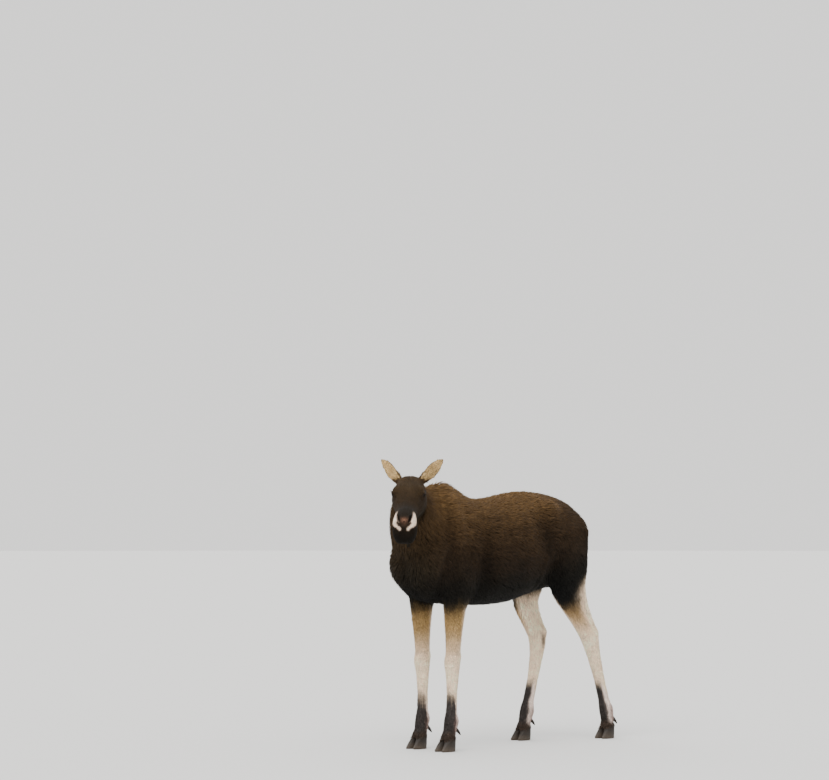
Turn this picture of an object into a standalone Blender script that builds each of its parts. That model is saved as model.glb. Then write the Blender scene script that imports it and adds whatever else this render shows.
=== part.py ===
"""A still, life-size cow moose that stands in a walking step and looks round to its left.

Metres, +Z up. The animal heads along -Y and its own left is +X. It stands on the floor
z = 0, with the middle of its bounding box over the origin.

The body is lofted whole, out to the tips of the coat, from a few named sections. Thin cuts
then part it into the pieces that a person would name. Hooves and eyes are separate pieces.
"""

import math
from typing import NamedTuple

import bmesh
import bpy
from mathutils import Matrix, Vector

GAP = 0.0003
WELD = 0.002

# Pose: the head turns to the animal's left and its face slopes down from the poll.
POLL = Vector((0.174, -1.076, 1.815))
HEAD_YAW = math.radians(41)
HEAD_PITCH = math.radians(-27)

# Each leg's joints from the body down, as (x, y, z). The right hind leg has stepped forward
# and the left one trails.
FORE_TOP = ((0.128, -0.670, 1.440), (0.154, -0.640, 1.140), (0.154, -0.640, 0.930))
FORE_LEFT = FORE_TOP + ((0.150, -0.655, 0.575), (0.150, -0.672, 0.205), (0.150, -0.700, 0.088))
FORE_RIGHT = FORE_TOP + ((0.150, -0.635, 0.575), (0.150, -0.640, 0.205), (0.150, -0.666, 0.088))
HIND_LEFT = (
    (0.125, 0.430, 1.430), (0.160, 0.450, 1.140), (0.164, 0.542, 0.925),
    (0.160, 0.705, 0.655), (0.150, 0.868, 0.205), (0.150, 0.884, 0.088),
)
HIND_RIGHT = (
    (0.125, 0.430, 1.430), (0.155, 0.395, 1.140), (0.150, 0.378, 0.930),
    (0.150, 0.492, 0.655), (0.150, 0.384, 0.205), (0.150, 0.352, 0.088),
)
CORONET_TILT = math.radians(18)

CENTRE_CUT = 0.012
FLARE = 0.25
SIDE_NAMES = ((1, "left"), (-1, "right"))


class Section(NamedTuple):
    """One outline across a loft. Its plane faces along yaw and pitch from (x, y, z).

    above and below are the reaches up and down from the widest place. crest and keel say how
    full the upper and lower halves are: 2 is an ellipse, less is narrower, more is squarer.
    """

    x: float
    y: float
    z: float
    yaw: float
    pitch: float
    above: float
    below: float
    half_width: float
    crest: float = 2.0
    keel: float = 2.0


def clear_scene():
    for thing in list(bpy.data.objects):
        bpy.data.objects.remove(thing)


def facing(yaw, pitch):
    """The forward, side and up directions of a section's plane."""
    forward = Vector((
        math.sin(yaw) * math.cos(pitch), -math.cos(yaw) * math.cos(pitch), math.sin(pitch),
    ))
    side = Vector((math.cos(yaw), math.sin(yaw), 0.0))
    return forward, side, forward.cross(side)


def signed_power(value, power):
    return math.copysign(abs(value) ** power, value)


def ring_points(section, count):
    """The outline's corners, from the animal's left side over the top and round."""
    _, side, up = facing(section.yaw, section.pitch)
    centre = Vector((section.x, section.y, section.z))
    points = []
    for k in range(count):
        angle = 2 * math.pi * k / count
        across, rise = math.cos(angle), math.sin(angle)
        fullness = section.crest if rise > 0 else section.keel
        reach = section.above if rise > 0 else section.below
        offset = side * section.half_width * signed_power(across, 2 / fullness)
        offset += up * reach * signed_power(rise, 2 / fullness)
        points.append(centre + offset)
    return points


def blended(stations, place):
    """A station between the given ones, on a smooth curve through them all."""
    last = len(stations) - 1
    start = min(int(place), last - 1)
    t = place - start
    before, here = stations[max(start - 1, 0)], stations[start]
    ahead, beyond = stations[start + 1], stations[min(start + 2, last)]
    values = []
    for a, b, c, d in zip(before, here, ahead, beyond):
        slope_in, slope_out = (c - a) / 2, (d - b) / 2
        cubic = (2 * b - 2 * c + slope_in + slope_out) * t ** 3
        square = (3 * c - 3 * b - 2 * slope_in - slope_out) * t ** 2
        values.append(cubic + square + slope_in * t + b)
    return values


def resampled(sections, steps):
    """The sections with steps even places in each stretch between two of them."""
    places = [k / steps for k in range((len(sections) - 1) * steps + 1)]
    return [Section(*blended(sections, place)) for place in places]


def new_object(name, build):
    """An object whose mesh build fills, as triangles that face outward."""
    shape = bmesh.new()
    build(shape)
    bmesh.ops.triangulate(shape, faces=shape.faces)
    bmesh.ops.recalc_face_normals(shape, faces=shape.faces)
    mesh = bpy.data.meshes.new(name)
    shape.to_mesh(mesh)
    shape.free()
    made = bpy.data.objects.new(name, mesh)
    bpy.context.scene.collection.objects.link(made)
    return made


def skinned(shape, rings):
    """Bridges rings of equal length and closes both ends."""
    rows = [[shape.verts.new(point) for point in ring] for ring in rings]
    count = len(rows[0])
    for row, following in zip(rows, rows[1:]):
        for k in range(count):
            other = (k + 1) % count
            shape.faces.new((row[k], row[other], following[other], following[k]))
    shape.faces.new(rows[0])
    shape.faces.new(rows[-1])


def loft(name, sections, count, steps=1):
    rings = [ring_points(section, count) for section in resampled(sections, steps)]
    return new_object(name, lambda shape: skinned(shape, rings))


def mirrored(point, side):
    return Vector((point[0] * side, point[1], point[2]))


# ---------------------------------------------------------------- trunk, neck and tail


def trunk_section(y, top, bottom, half_width, crest=1.75, keel=2.1):
    """A trunk outline at y, widest a little below the middle of its height."""
    waist = bottom + 0.46 * (top - bottom)
    return Section(0, y, waist, 0, 0, top - waist, waist - bottom, half_width, crest, keel)


def trunk():
    sections = (
        trunk_section(0.728, 1.420, 1.290, 0.040),
        trunk_section(0.705, 1.520, 1.170, 0.130, 2.0),    # buttocks
        trunk_section(0.620, 1.624, 1.080, 0.200, 2.0),
        trunk_section(0.450, 1.690, 1.055, 0.238, 1.9),    # hips
        trunk_section(0.210, 1.722, 1.020, 0.252),         # croup and flank
        trunk_section(0.000, 1.708, 0.962, 0.280),         # paunch
        trunk_section(-0.190, 1.676, 0.945, 0.284),        # girth
        trunk_section(-0.360, 1.672, 0.945, 0.262),
        trunk_section(-0.500, 1.738, 0.950, 0.236, 1.65),
        trunk_section(-0.630, 1.785, 0.960, 0.222, 1.6),   # withers
        trunk_section(-0.760, 1.730, 0.975, 0.212, 1.7),
        trunk_section(-0.870, 1.600, 1.010, 0.190, 1.8),   # brisket
        trunk_section(-0.945, 1.420, 1.080, 0.138, 2.0),
        trunk_section(-0.968, 1.340, 1.150, 0.060, 2.0),
    )
    return loft("whole", sections, 22, 2)


def neck():
    """The neck hangs between its crest line and its throat line and turns to the left."""
    crest = ((0, -0.560, 1.720), (0, -0.680, 1.768), (0.030, -0.800, 1.764),
             (0.080, -0.915, 1.768), (0.132, -1.000, 1.786), (0.166, -1.058, 1.803))
    throat = ((0, -0.800, 1.080), (0, -0.925, 1.170), (0.034, -1.000, 1.300),
              (0.086, -1.046, 1.412), (0.136, -1.078, 1.495), (0.174, -1.104, 1.556))
    half_width = (0.185, 0.194, 0.176, 0.144, 0.118, 0.101)
    sections = []
    for k, (top, bottom, reach) in enumerate(zip(crest, throat, half_width)):
        top, bottom = Vector(top), Vector(bottom)
        up = (top - bottom).normalized()
        yaw = HEAD_YAW * k / (len(crest) - 1)
        pitch = math.atan2(up.xy.length, up.z)
        middle = bottom.lerp(top, 0.47)
        above, below = (top - middle).length, (middle - bottom).length
        sections.append(Section(*middle, yaw, pitch, above, below, reach, 1.7, 2.0))
    return loft("neck", sections, 16, 2)


def tail():
    sections = (
        Section(0, 0.640, 1.570, 0, math.radians(-160), 0.026, 0.028, 0.042),
        Section(0, 0.727, 1.532, 0, math.radians(-140), 0.026, 0.026, 0.038),
        Section(0, 0.768, 1.478, 0, math.radians(-115), 0.020, 0.020, 0.030),
        Section(0, 0.782, 1.410, 0, math.radians(-95), 0.007, 0.007, 0.010),
    )
    return loft("tail", sections, 10)


# ---------------------------------------------------------------- head


def on_head(along, across, up):
    """A point measured from the poll: along the face, to the left, and up from the face."""
    forward, side, rise = facing(HEAD_YAW, HEAD_PITCH)
    return POLL + forward * along + side * across + rise * up


def head_section(along, top, bottom, half_width, waist, crest=2.2, keel=2.2):
    centre = on_head(along, 0, waist)
    return Section(
        *centre, HEAD_YAW, HEAD_PITCH, top - waist, waist - bottom, half_width, crest, keel,
    )


def skull():
    sections = (
        head_section(-0.035, -0.035, -0.190, 0.066, -0.100),
        head_section(0.020, 0.000, -0.235, 0.092, -0.100),          # poll
        head_section(0.090, 0.014, -0.252, 0.104, -0.095),          # forehead and cheeks
        head_section(0.165, 0.010, -0.240, 0.110, -0.060),          # brow
        head_section(0.240, -0.010, -0.214, 0.094, -0.080, 2.0),
        head_section(0.320, -0.024, -0.180, 0.075, -0.090, 2.0),    # bridge
        head_section(0.400, -0.020, -0.166, 0.068, -0.088, 2.1),
        head_section(0.470, -0.006, -0.164, 0.073, -0.086, 2.4),
        head_section(0.535, -0.004, -0.166, 0.079, -0.092, 2.6, 2.5),    # nostrils
        head_section(0.590, -0.013, -0.178, 0.079, -0.100, 2.7, 2.6),    # overhanging lip
        head_section(0.632, -0.038, -0.177, 0.066, -0.107, 2.5, 2.5),
        head_section(0.650, -0.070, -0.153, 0.036, -0.111, 2.2, 2.2),
    )
    return loft("skull", sections, 18, 2)


def jaw():
    sections = (
        head_section(0.095, -0.120, -0.262, 0.070, -0.180),
        head_section(0.190, -0.120, -0.250, 0.064, -0.170),
        head_section(0.290, -0.088, -0.226, 0.060, -0.143),
        head_section(0.385, -0.078, -0.208, 0.056, -0.137),
        head_section(0.478, -0.078, -0.209, 0.059, -0.143),    # chin
        head_section(0.536, -0.098, -0.197, 0.046, -0.149),
        head_section(0.556, -0.118, -0.177, 0.024, -0.149),
    )
    return loft("jaw", sections, 13, 2)


def dewlap_root():
    return on_head(0.250, 0, -0.190)


def dewlap():
    """The small bell of a cow, a flap that hangs under the throat."""
    root = dewlap_root()
    sections = (
        Section(*root, HEAD_YAW, math.radians(-90), 0.050, 0.050, 0.034),
        Section(*(root - Vector((0, 0, 0.090))), HEAD_YAW, math.radians(-90), 0.044, 0.044, 0.028),
        Section(*(root - Vector((0, 0, 0.150))), HEAD_YAW, math.radians(-90), 0.031, 0.033, 0.020),
        Section(*(root - Vector((0, 0, 0.195))), HEAD_YAW, math.radians(-90), 0.013, 0.014, 0.010),
    )
    return loft("bell", sections, 9)


class Ear(NamedTuple):
    """Where an ear grows and which way it points and opens, measured on the head."""

    name: str
    root: tuple
    points: tuple
    opens: tuple


EARS = (
    Ear("ear_left", (0.030, 0.062, -0.052), (-0.66, 0.60, 0.40), (0.56, 0.78, 0.18)),
    Ear("ear_right", (0.030, -0.062, -0.052), (-0.72, -0.54, 0.36), (0.52, -0.80, 0.20)),
)
EAR_LENGTH = 0.245


def head_direction(along, across, up):
    forward, side, rise = facing(HEAD_YAW, HEAD_PITCH)
    return (forward * along + side * across + rise * up).normalized()


def ear_frame(ear):
    """The ear's root and its axis, width and opening directions."""
    axis = head_direction(*ear.points)
    opening = head_direction(*ear.opens)
    opening = (opening - axis * opening.dot(axis)).normalized()
    return on_head(*ear.root), axis, axis.cross(opening), opening


def ear_rings(ear):
    """A leaf-shaped cup: each ring runs along the back of the leaf and returns inside it."""
    root, axis, width_way, opening = ear_frame(ear)
    # Share of the length, half width, depth of the cup, thickness.
    leaf = (
        (0.00, 0.030, 0.034, 0.034), (0.16, 0.036, 0.036, 0.034), (0.32, 0.048, 0.034, 0.020),
        (0.50, 0.056, 0.030, 0.015), (0.68, 0.051, 0.022, 0.013), (0.84, 0.035, 0.013, 0.011),
        (0.95, 0.017, 0.006, 0.008), (1.00, 0.006, 0.002, 0.004),
    )
    spans = 5
    rings = []
    for share, half_width, depth, thickness in leaf:
        centre = root + axis * EAR_LENGTH * share
        back, inside = [], []
        for k in range(spans + 1):
            across = 2 * k / spans - 1
            dip = depth * (1 - across ** 2)
            edge = centre + width_way * half_width * across
            back.append(edge - opening * dip)
            if 0 < k < spans:
                inside.append(edge - opening * (dip - thickness * (1 - across ** 4)))
        rings.append(back + inside[::-1])
    return rings


def ear_object(ear):
    rings = ear_rings(ear)
    return new_object(ear.name, lambda shape: skinned(shape, rings))


EYE_RADIUS = 0.019
EYE_PLACE = (0.176, 0.0920, -0.046)


def eyeball(name, side, radius):
    """A ball whose pole looks out sideways from the head."""
    along, across, up = EYE_PLACE
    turned = head_direction(0.25, side, 0.05).to_track_quat("Z", "Y").to_matrix().to_4x4()
    place = Matrix.Translation(on_head(along, across * side, up)) @ turned

    def build(shape):
        bmesh.ops.create_uvsphere(shape, u_segments=12, v_segments=6, radius=radius, matrix=place)
    return new_object(name, build)


# ---------------------------------------------------------------- legs


class Leg(NamedTuple):
    name: str
    side: int
    joints: tuple
    flesh: tuple


# Where along the joints, then the reach to the front, to the back and to each side.
FORE_FLESH = (
    (0.0, 0.150, 0.150, 0.066), (0.5, 0.178, 0.172, 0.086), (1.0, 0.158, 0.165, 0.086),
    (1.5, 0.112, 0.135, 0.077), (2.0, 0.085, 0.087, 0.066), (2.4, 0.064, 0.062, 0.056),
    (2.8, 0.050, 0.050, 0.049), (3.0, 0.053, 0.052, 0.053), (3.2, 0.044, 0.046, 0.045),
    (3.5, 0.036, 0.040, 0.035), (3.8, 0.038, 0.043, 0.037), (4.0, 0.046, 0.054, 0.047),
    (4.5, 0.042, 0.046, 0.045), (5.0, 0.053, 0.047, 0.052),
)
HIND_FLESH = (
    (0.0, 0.170, 0.185, 0.085), (0.5, 0.215, 0.215, 0.104), (1.0, 0.205, 0.190, 0.095),
    (1.5, 0.160, 0.145, 0.080), (2.0, 0.110, 0.114, 0.066), (2.4, 0.080, 0.100, 0.056),
    (2.8, 0.062, 0.094, 0.050), (3.0, 0.058, 0.074, 0.050), (3.2, 0.050, 0.054, 0.044),
    (3.5, 0.039, 0.043, 0.037), (3.8, 0.039, 0.044, 0.037), (4.0, 0.047, 0.055, 0.047),
    (4.5, 0.042, 0.046, 0.045), (5.0, 0.053, 0.047, 0.052),
)
LEGS = (
    Leg("fore_left", 1, FORE_LEFT, FORE_FLESH),
    Leg("fore_right", -1, FORE_RIGHT, FORE_FLESH),
    Leg("hind_left", 1, HIND_LEFT, HIND_FLESH),
    Leg("hind_right", -1, HIND_RIGHT, HIND_FLESH),
)


def joint(leg, place):
    return mirrored(blended(leg.joints, place), leg.side)


def leg_pitch(leg, place):
    """Which way the leg runs at a place, as a pitch that is straight down at -90 degrees."""
    reach = 0.25
    last = len(leg.joints) - 1
    run = joint(leg, min(place + reach, last)) - joint(leg, max(place - reach, 0))
    return math.atan2(run.z, -run.y)


def leg_loft(leg):
    sections = []
    for place, front, back, half_width in leg.flesh:
        centre = joint(leg, place)
        last = place == leg.flesh[-1][0]
        pitch = coronet_pitch() if last else leg_pitch(leg, place)
        sections.append(Section(*centre, 0, pitch, front, back, half_width))
    return loft("leg_" + leg.name, sections, 13)


def coronet_pitch():
    return math.radians(-90) - CORONET_TILT


def hoof(leg, toe):
    """One of the two toes: a wedge of horn on a flat sole, pointed in front."""
    top = joint(leg, 5) + facing(0, coronet_pitch())[0] * GAP
    x = top.x + toe * 0.0285
    yaw = math.radians(4) * toe
    flat = math.radians(-90)
    slanted = (flat + coronet_pitch()) / 2
    sections = (
        Section(x - toe * 0.002, top.y, top.z, 0, coronet_pitch(), 0.050, 0.044, 0.0245),
        Section(x, top.y - 0.009, 0.045, yaw, slanted, 0.065, 0.052, 0.0270, 1.8),
        Section(x, top.y - 0.014, 0.010, yaw, flat, 0.077, 0.054, 0.0275, 1.7),
        Section(x, top.y - 0.014, 0.000, yaw, flat, 0.073, 0.052, 0.0255, 1.7),
    )
    return loft(f"hoof_{leg.name}_{toe_name(leg, toe)}", sections, 11)


def toe_name(leg, toe):
    return "outer" if toe == leg.side else "inner"


def dewclaw(leg, toe, grow=0.0):
    """A small horn that juts from the back of the pastern, grown all round by a width."""
    place = joint(leg, 4.35)
    x = place.x + toe * 0.024
    down = math.radians(-90)
    sections = (
        Section(x, place.y + 0.026 - grow, place.z + 0.010, 0, down - 0.9,
                0.014 + grow, 0.014 + grow, 0.015 + grow),
        Section(x + toe * 0.003, place.y + 0.052, place.z - 0.010, 0, down - 0.7,
                0.014 + grow, 0.013 + grow, 0.014 + grow),
        Section(x + toe * 0.005, place.y + 0.070 + grow, place.z - 0.036, 0, down - 0.4,
                0.008 + grow, 0.006 + grow, 0.007 + grow),
    )
    return loft(f"dewclaw_{leg.name}_{toe_name(leg, toe)}", sections, 8)


# ---------------------------------------------------------------- joining and parting


def baked(thing):
    """Applies an object's modifiers."""
    graph = bpy.context.evaluated_depsgraph_get()
    mesh = bpy.data.meshes.new_from_object(thing.evaluated_get(graph))
    thing.modifiers.clear()
    thing.data = mesh


def combine(target, tool, operation):
    """Joins tool to target, or cuts it away, and removes tool."""
    boolean = target.modifiers.new(operation.lower(), "BOOLEAN")
    boolean.operation = operation
    boolean.solver = "EXACT"
    boolean.object = tool
    baked(target)
    bpy.data.objects.remove(tool)


def board_cut(centre, across, normal, width, height):
    """A board as thin as the gap, whose width runs across."""
    board = Matrix((across, normal.cross(across), normal)).transposed().to_4x4()
    board = Matrix.Translation(centre) @ board @ Matrix.Diagonal((width, height, GAP, 1.0))

    def build(shape):
        bmesh.ops.create_cube(shape, size=1.0, matrix=board)
    return new_object("cut", build)


def level_cut(centre, normal, width, height):
    """A thin board that parts one limb. Its width runs level."""
    normal = normal.normalized()
    level = Vector((-normal.y, normal.x, 0.0))
    level = level.normalized() if level.length > 0.001 else Vector((1.0, 0.0, 0.0))
    return board_cut(centre, level, normal, width, height)


def weld(body):
    """Merges corners closer than WELD, so that no sliver stays where two forms cross."""
    shape = bmesh.new()
    shape.from_mesh(body.data)
    bmesh.ops.remove_doubles(shape, verts=shape.verts, dist=WELD)
    bmesh.ops.dissolve_degenerate(shape, edges=shape.edges, dist=WELD / 10)
    bmesh.ops.triangulate(shape, faces=shape.faces)
    shape.to_mesh(body.data)
    shape.free()


class Arch(NamedTuple):
    """The outline round one whole leg, arched over its upper muscles.

    Its inner wall slopes from near the midline at groin height out to the side at the top.
    """

    y_front: float
    y_back: float
    top: float
    groin: float


ARCHES = {"fore": Arch(-0.850, -0.440, 1.380, 0.940), "hind": Arch(0.140, 0.860, 1.470, 0.960)}


def arch_box(arch, side, grow):
    """A closed box over a leg, grown all round by the given width."""
    middle, reach = (arch.y_front + arch.y_back) / 2, (arch.y_back - arch.y_front) / 2
    spring = arch.top - reach * 0.75
    levels = [(-0.1, reach + FLARE), (0.80, reach), (spring, reach)]
    for degrees in (25, 45, 65, 84):
        angle = math.radians(degrees)
        levels.append((spring + reach * 0.75 * math.sin(angle), reach * math.cos(angle)))
    rings = []
    for z, along in levels:
        rise = max(z - arch.groin, 0) / (arch.top - arch.groin)
        inner, outer = side * (CENTRE_CUT + 0.13 * rise - grow), side * 0.5
        front, back = middle - along - grow, middle + along + grow
        z = z + grow if z > spring else z
        rings.append([
            Vector((inner, front, z)), Vector((outer, front, z)),
            Vector((outer, back, z)), Vector((inner, back, z)),
        ])
    return new_object("arch", lambda shape: skinned(shape, rings))


def legs_off(body):
    """Parts the four legs from the body with a thin gap and returns them."""
    legs = []
    for leg in LEGS:
        arch = ARCHES[leg.name[:4]]
        taken = body.copy()
        taken.data = body.data.copy()
        bpy.context.scene.collection.objects.link(taken)
        combine(taken, arch_box(arch, leg.side, 0), "INTERSECT")
        combine(body, arch_box(arch, leg.side, GAP), "DIFFERENCE")
        legs.append(taken)
    return legs


def mouth_cut():
    """A thin ribbon along the closed mouth and up the back of the jaw."""
    line = ((0.720, -0.192), (0.600, -0.184), (0.530, -0.158), (0.440, -0.145),
            (0.350, -0.150), (0.280, -0.180), (0.205, -0.200), (0.160, -0.240), (0.140, -0.330))
    half_width = 0.13

    def build(shape):
        rows = []
        for lift in (0, GAP):
            rows.append([
                [shape.verts.new(on_head(along, across, up + lift)) for along, up in line]
                for across in (-half_width, half_width)
            ])
        (low_right, low_left), (high_right, high_left) = rows
        for k in range(len(line) - 1):
            shape.faces.new((low_right[k], low_left[k], low_left[k + 1], low_right[k + 1]))
            shape.faces.new((high_right[k], high_right[k + 1], high_left[k + 1], high_left[k]))
            shape.faces.new((low_right[k], low_right[k + 1], high_right[k + 1], high_right[k]))
            shape.faces.new((low_left[k], high_left[k], high_left[k + 1], low_left[k + 1]))
        for k in (0, -1):
            shape.faces.new((low_right[k], high_right[k], high_left[k], low_left[k]))
    return new_object("cut", build)


def leg_cuts(leg):
    """Cuts at the knee or hock and above the fetlock, and the dewclaws' seats."""
    cuts = []
    for place in (3.0, 3.85):
        forward, _, _ = facing(0, leg_pitch(leg, place))
        cuts.append(level_cut(joint(leg, place), forward, 0.26, 0.26))
    return cuts + [dewclaw(leg, toe, GAP) for toe in (-1, 1)]


def ear_cut(ear):
    root, axis, width_way, opening = ear_frame(ear)
    return board_cut(root + axis * 0.070 - opening * 0.014, width_way, axis, 0.112, 0.076)


def whole_body():
    body = trunk()
    parts = [neck(), tail(), skull(), jaw(), dewlap()]
    parts += [ear_object(ear) for ear in EARS]
    parts += [leg_loft(leg) for leg in LEGS]
    for part in parts:
        combine(body, part, "UNION")
        weld(body)
    return body


def body_cuts():
    across_neck = Vector((0, -0.59, 0.25))
    behind_ears = head_direction(0.72, 0, 0.70)
    cuts = [
        level_cut(Vector((0, -0.800, 1.470)), across_neck, 0.60, 0.80),
        level_cut(on_head(0.030, 0, -0.165), behind_ears, 0.28, 0.40),
        level_cut(Vector((0, 0.7330, 1.500)), Vector((0, 1, 0)), 0.16, 0.20),
        level_cut(dewlap_root() - Vector((0, 0, 0.090)), head_direction(-0.15, 0, 1), 0.16, 0.13),
        mouth_cut(),
    ]
    for side, _ in SIDE_NAMES:
        cuts.append(eyeball("cut", side, EYE_RADIUS + GAP))
    cuts += [ear_cut(ear) for ear in EARS]
    return cuts


def loose_pieces(body):
    """Splits an object into one object for each separate closed body."""
    shape = bmesh.new()
    shape.from_mesh(body.data)
    left = set(shape.verts)
    groups = []
    while left:
        reached = {left.pop()}
        edge_of_search = list(reached)
        while edge_of_search:
            vert = edge_of_search.pop()
            near = {edge.other_vert(vert) for edge in vert.link_edges} - reached
            reached |= near
            edge_of_search += near
        left -= reached
        groups.append(reached)
    pieces = []
    for group in groups:
        number = {vert: k for k, vert in enumerate(sorted(group, key=lambda v: v.index))}
        faces = [[number[v] for v in f.verts] for f in shape.faces if f.verts[0] in group]
        mesh = bpy.data.meshes.new("piece")
        mesh.from_pydata([vert.co for vert in number], [], faces)
        piece = bpy.data.objects.new("piece", mesh)
        bpy.context.scene.collection.objects.link(piece)
        pieces.append(piece)
    shape.free()
    bpy.data.objects.remove(body)
    return pieces


def middle_of(piece):
    corners = [Vector(corner) for corner in piece.bound_box]
    return sum(corners, Vector()) / 8


def anchors():
    """A point in the middle of each named piece of the parted body."""
    places = {
        "trunk": Vector((0, -0.10, 1.35)),
        "neck": Vector((0.08, -0.93, 1.52)),
        "head": on_head(0.30, 0, -0.09),
        "lower_jaw": on_head(0.36, 0, -0.20),
        "dewlap": dewlap_root() - Vector((0, 0, 0.150)),
        "tail": Vector((0, 0.74, 1.44)),
    }
    for ear in EARS:
        root, axis, _, opening = ear_frame(ear)
        places[ear.name] = root + axis * (EAR_LENGTH * 0.6) - opening * 0.02
    for leg in LEGS:
        upper = "forearm" if leg.name.startswith("fore") else "thigh"
        places[f"{upper}_{leg.name}"] = joint(leg, 1.4)
        places[f"shank_{leg.name}"] = joint(leg, 3.6)
        places[f"pastern_{leg.name}"] = joint(leg, 4.5)
    return places


def parted_body():
    """The body's pieces, each named after the anchor nearest to its middle."""
    body = whole_body()
    pieces = []
    for leg, limb in zip(LEGS, legs_off(body)):
        for cut in leg_cuts(leg):
            combine(limb, cut, "DIFFERENCE")
        pieces += loose_pieces(limb)
    for cut in body_cuts():
        combine(body, cut, "DIFFERENCE")
    pieces += loose_pieces(body)
    for name, place in anchors().items():
        nearest = min(pieces, key=lambda piece: (middle_of(piece) - place).length)
        nearest.name = name
        pieces.remove(nearest)
    for piece in pieces:
        piece.name = "unnamed"


def hooves_and_eyes():
    for leg in LEGS:
        for toe in (-1, 1):
            hoof(leg, toe)
            dewclaw(leg, toe)
    for side, name in SIDE_NAMES:
        eyeball("eye_" + name, side, EYE_RADIUS)


# ---------------------------------------------------------------- materials


def coloured(name, colour, roughness):
    material = bpy.data.materials.new(name)
    material.use_nodes = True
    shader = material.node_tree.nodes["Principled BSDF"]
    shader.inputs["Base Color"].default_value = (*colour, 1.0)
    shader.inputs["Roughness"].default_value = roughness
    material.diffuse_color = (*colour, 1.0)
    return material


def finishes():
    """Which material each kind of piece has, by the first word of its name."""
    brown = coloured("brown_coat", (0.095, 0.060, 0.032), 0.85)
    dark = coloured("dark_coat", (0.024, 0.021, 0.015), 0.85)
    pale = coloured("pale_coat", (0.500, 0.430, 0.370), 0.85)
    tan = coloured("tan_coat", (0.240, 0.170, 0.090), 0.85)
    horn = coloured("hoof_horn", (0.045, 0.035, 0.030), 0.45)
    wet = coloured("eye", (0.012, 0.008, 0.006), 0.08)
    return {
        "trunk": brown, "neck": brown, "head": brown, "lower": dark, "dewlap": dark,
        "tail": dark, "ear": tan, "thigh": dark, "forearm": dark, "shank": pale,
        "pastern": pale, "hoof": horn, "dewclaw": horn, "eye": wet,
    }


def finish_pieces():
    kinds = finishes()
    for piece in bpy.context.scene.objects:
        piece.data.materials.clear()
        piece.data.materials.append(kinds[piece.name.split("_")[0]])
        piece.data.shade_smooth()
        piece.data.set_sharp_from_angle(angle=math.radians(50))


def stand_on_origin():
    """Moves every piece so that the whole stands with its bounding box over the origin."""
    pieces = list(bpy.context.scene.objects)
    corners = [Vector(corner) for piece in pieces for corner in piece.bound_box]
    middle_x = (min(c.x for c in corners) + max(c.x for c in corners)) / 2
    middle_y = (min(c.y for c in corners) + max(c.y for c in corners)) / 2
    for piece in pieces:
        piece.location -= Vector((middle_x, middle_y, 0.0))


clear_scene()
parted_body()
hooves_and_eyes()
finish_pieces()
stand_on_origin()
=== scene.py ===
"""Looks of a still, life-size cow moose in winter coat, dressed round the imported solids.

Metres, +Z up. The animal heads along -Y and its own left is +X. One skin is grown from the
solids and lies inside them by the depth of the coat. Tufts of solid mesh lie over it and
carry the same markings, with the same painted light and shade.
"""

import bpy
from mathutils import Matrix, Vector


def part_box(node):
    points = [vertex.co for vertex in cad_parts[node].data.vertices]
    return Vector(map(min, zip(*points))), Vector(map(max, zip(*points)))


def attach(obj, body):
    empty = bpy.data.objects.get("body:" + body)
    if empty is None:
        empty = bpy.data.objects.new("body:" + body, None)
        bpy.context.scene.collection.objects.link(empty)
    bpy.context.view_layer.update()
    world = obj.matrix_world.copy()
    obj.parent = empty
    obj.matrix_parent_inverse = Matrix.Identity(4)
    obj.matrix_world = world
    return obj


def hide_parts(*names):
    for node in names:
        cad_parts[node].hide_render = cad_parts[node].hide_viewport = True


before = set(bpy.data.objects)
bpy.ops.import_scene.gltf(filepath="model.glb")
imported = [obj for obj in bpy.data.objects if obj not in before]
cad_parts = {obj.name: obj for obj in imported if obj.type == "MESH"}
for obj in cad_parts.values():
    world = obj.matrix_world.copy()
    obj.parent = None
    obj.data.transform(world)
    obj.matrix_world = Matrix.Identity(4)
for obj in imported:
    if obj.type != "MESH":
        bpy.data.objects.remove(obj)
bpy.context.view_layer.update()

import math
from typing import NamedTuple

import bmesh
import bpy
import numpy as np
from mathutils import Vector
from mathutils.bvhtree import BVHTree

MM = 0.001
SEED = 7


# ---------------------------------------------------------------- landmarks

LEG_NAMES = ("fore_left", "fore_right", "hind_left", "hind_right")
FLESH = [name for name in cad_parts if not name.startswith(("hoof", "dewclaw", "eye"))]
HORN = [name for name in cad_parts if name.startswith(("hoof", "dewclaw"))]
HEAD_PITCH = math.radians(-27)
EYE_ALONG, EYE_UP = 0.176, -0.046
EYE_RADIUS = 0.019
WITHERS_FROM_CHEST = 0.325
EAR_OPENS = (0.56, 0.78, 0.18)
SIDES = (("left", 1), ("right", -1))


def node_centre(name):
    low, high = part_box(name)
    return (Vector(low) + Vector(high)) / 2


class Landmarks(NamedTuple):
    """The head's own directions and a few fixed places on the body."""

    poll: Vector
    forward: Vector
    side: Vector
    rise: Vector
    middle: float
    withers: float
    top: float


def find_landmarks():
    left, right = node_centre("eye_left"), node_centre("eye_right")
    side = (left - right).normalized()
    heading = Vector((side.y, -side.x, 0)).normalized()
    forward = heading * math.cos(HEAD_PITCH) + Vector((0, 0, math.sin(HEAD_PITCH)))
    rise = forward.cross(side)
    poll = (left + right) / 2 - forward * EYE_ALONG - rise * EYE_UP
    low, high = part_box("trunk")
    return Landmarks(
        poll, forward, side, rise, (low[0] + high[0]) / 2, low[1] + WITHERS_FROM_CHEST, high[2],
    )


MARK = find_landmarks()


def in_head(points):
    """Places measured from the poll: along the face, to the left, and up from the face."""
    offset = points - np.array(MARK.poll)
    return offset @ np.array((MARK.forward, MARK.side, MARK.rise)).T


def from_head(along, across, up):
    """A direction or offset given on the head, in the model's axes."""
    return MARK.forward * along + MARK.side * across + MARK.rise * up


# ---------------------------------------------------------------- numbers on surfaces


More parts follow.
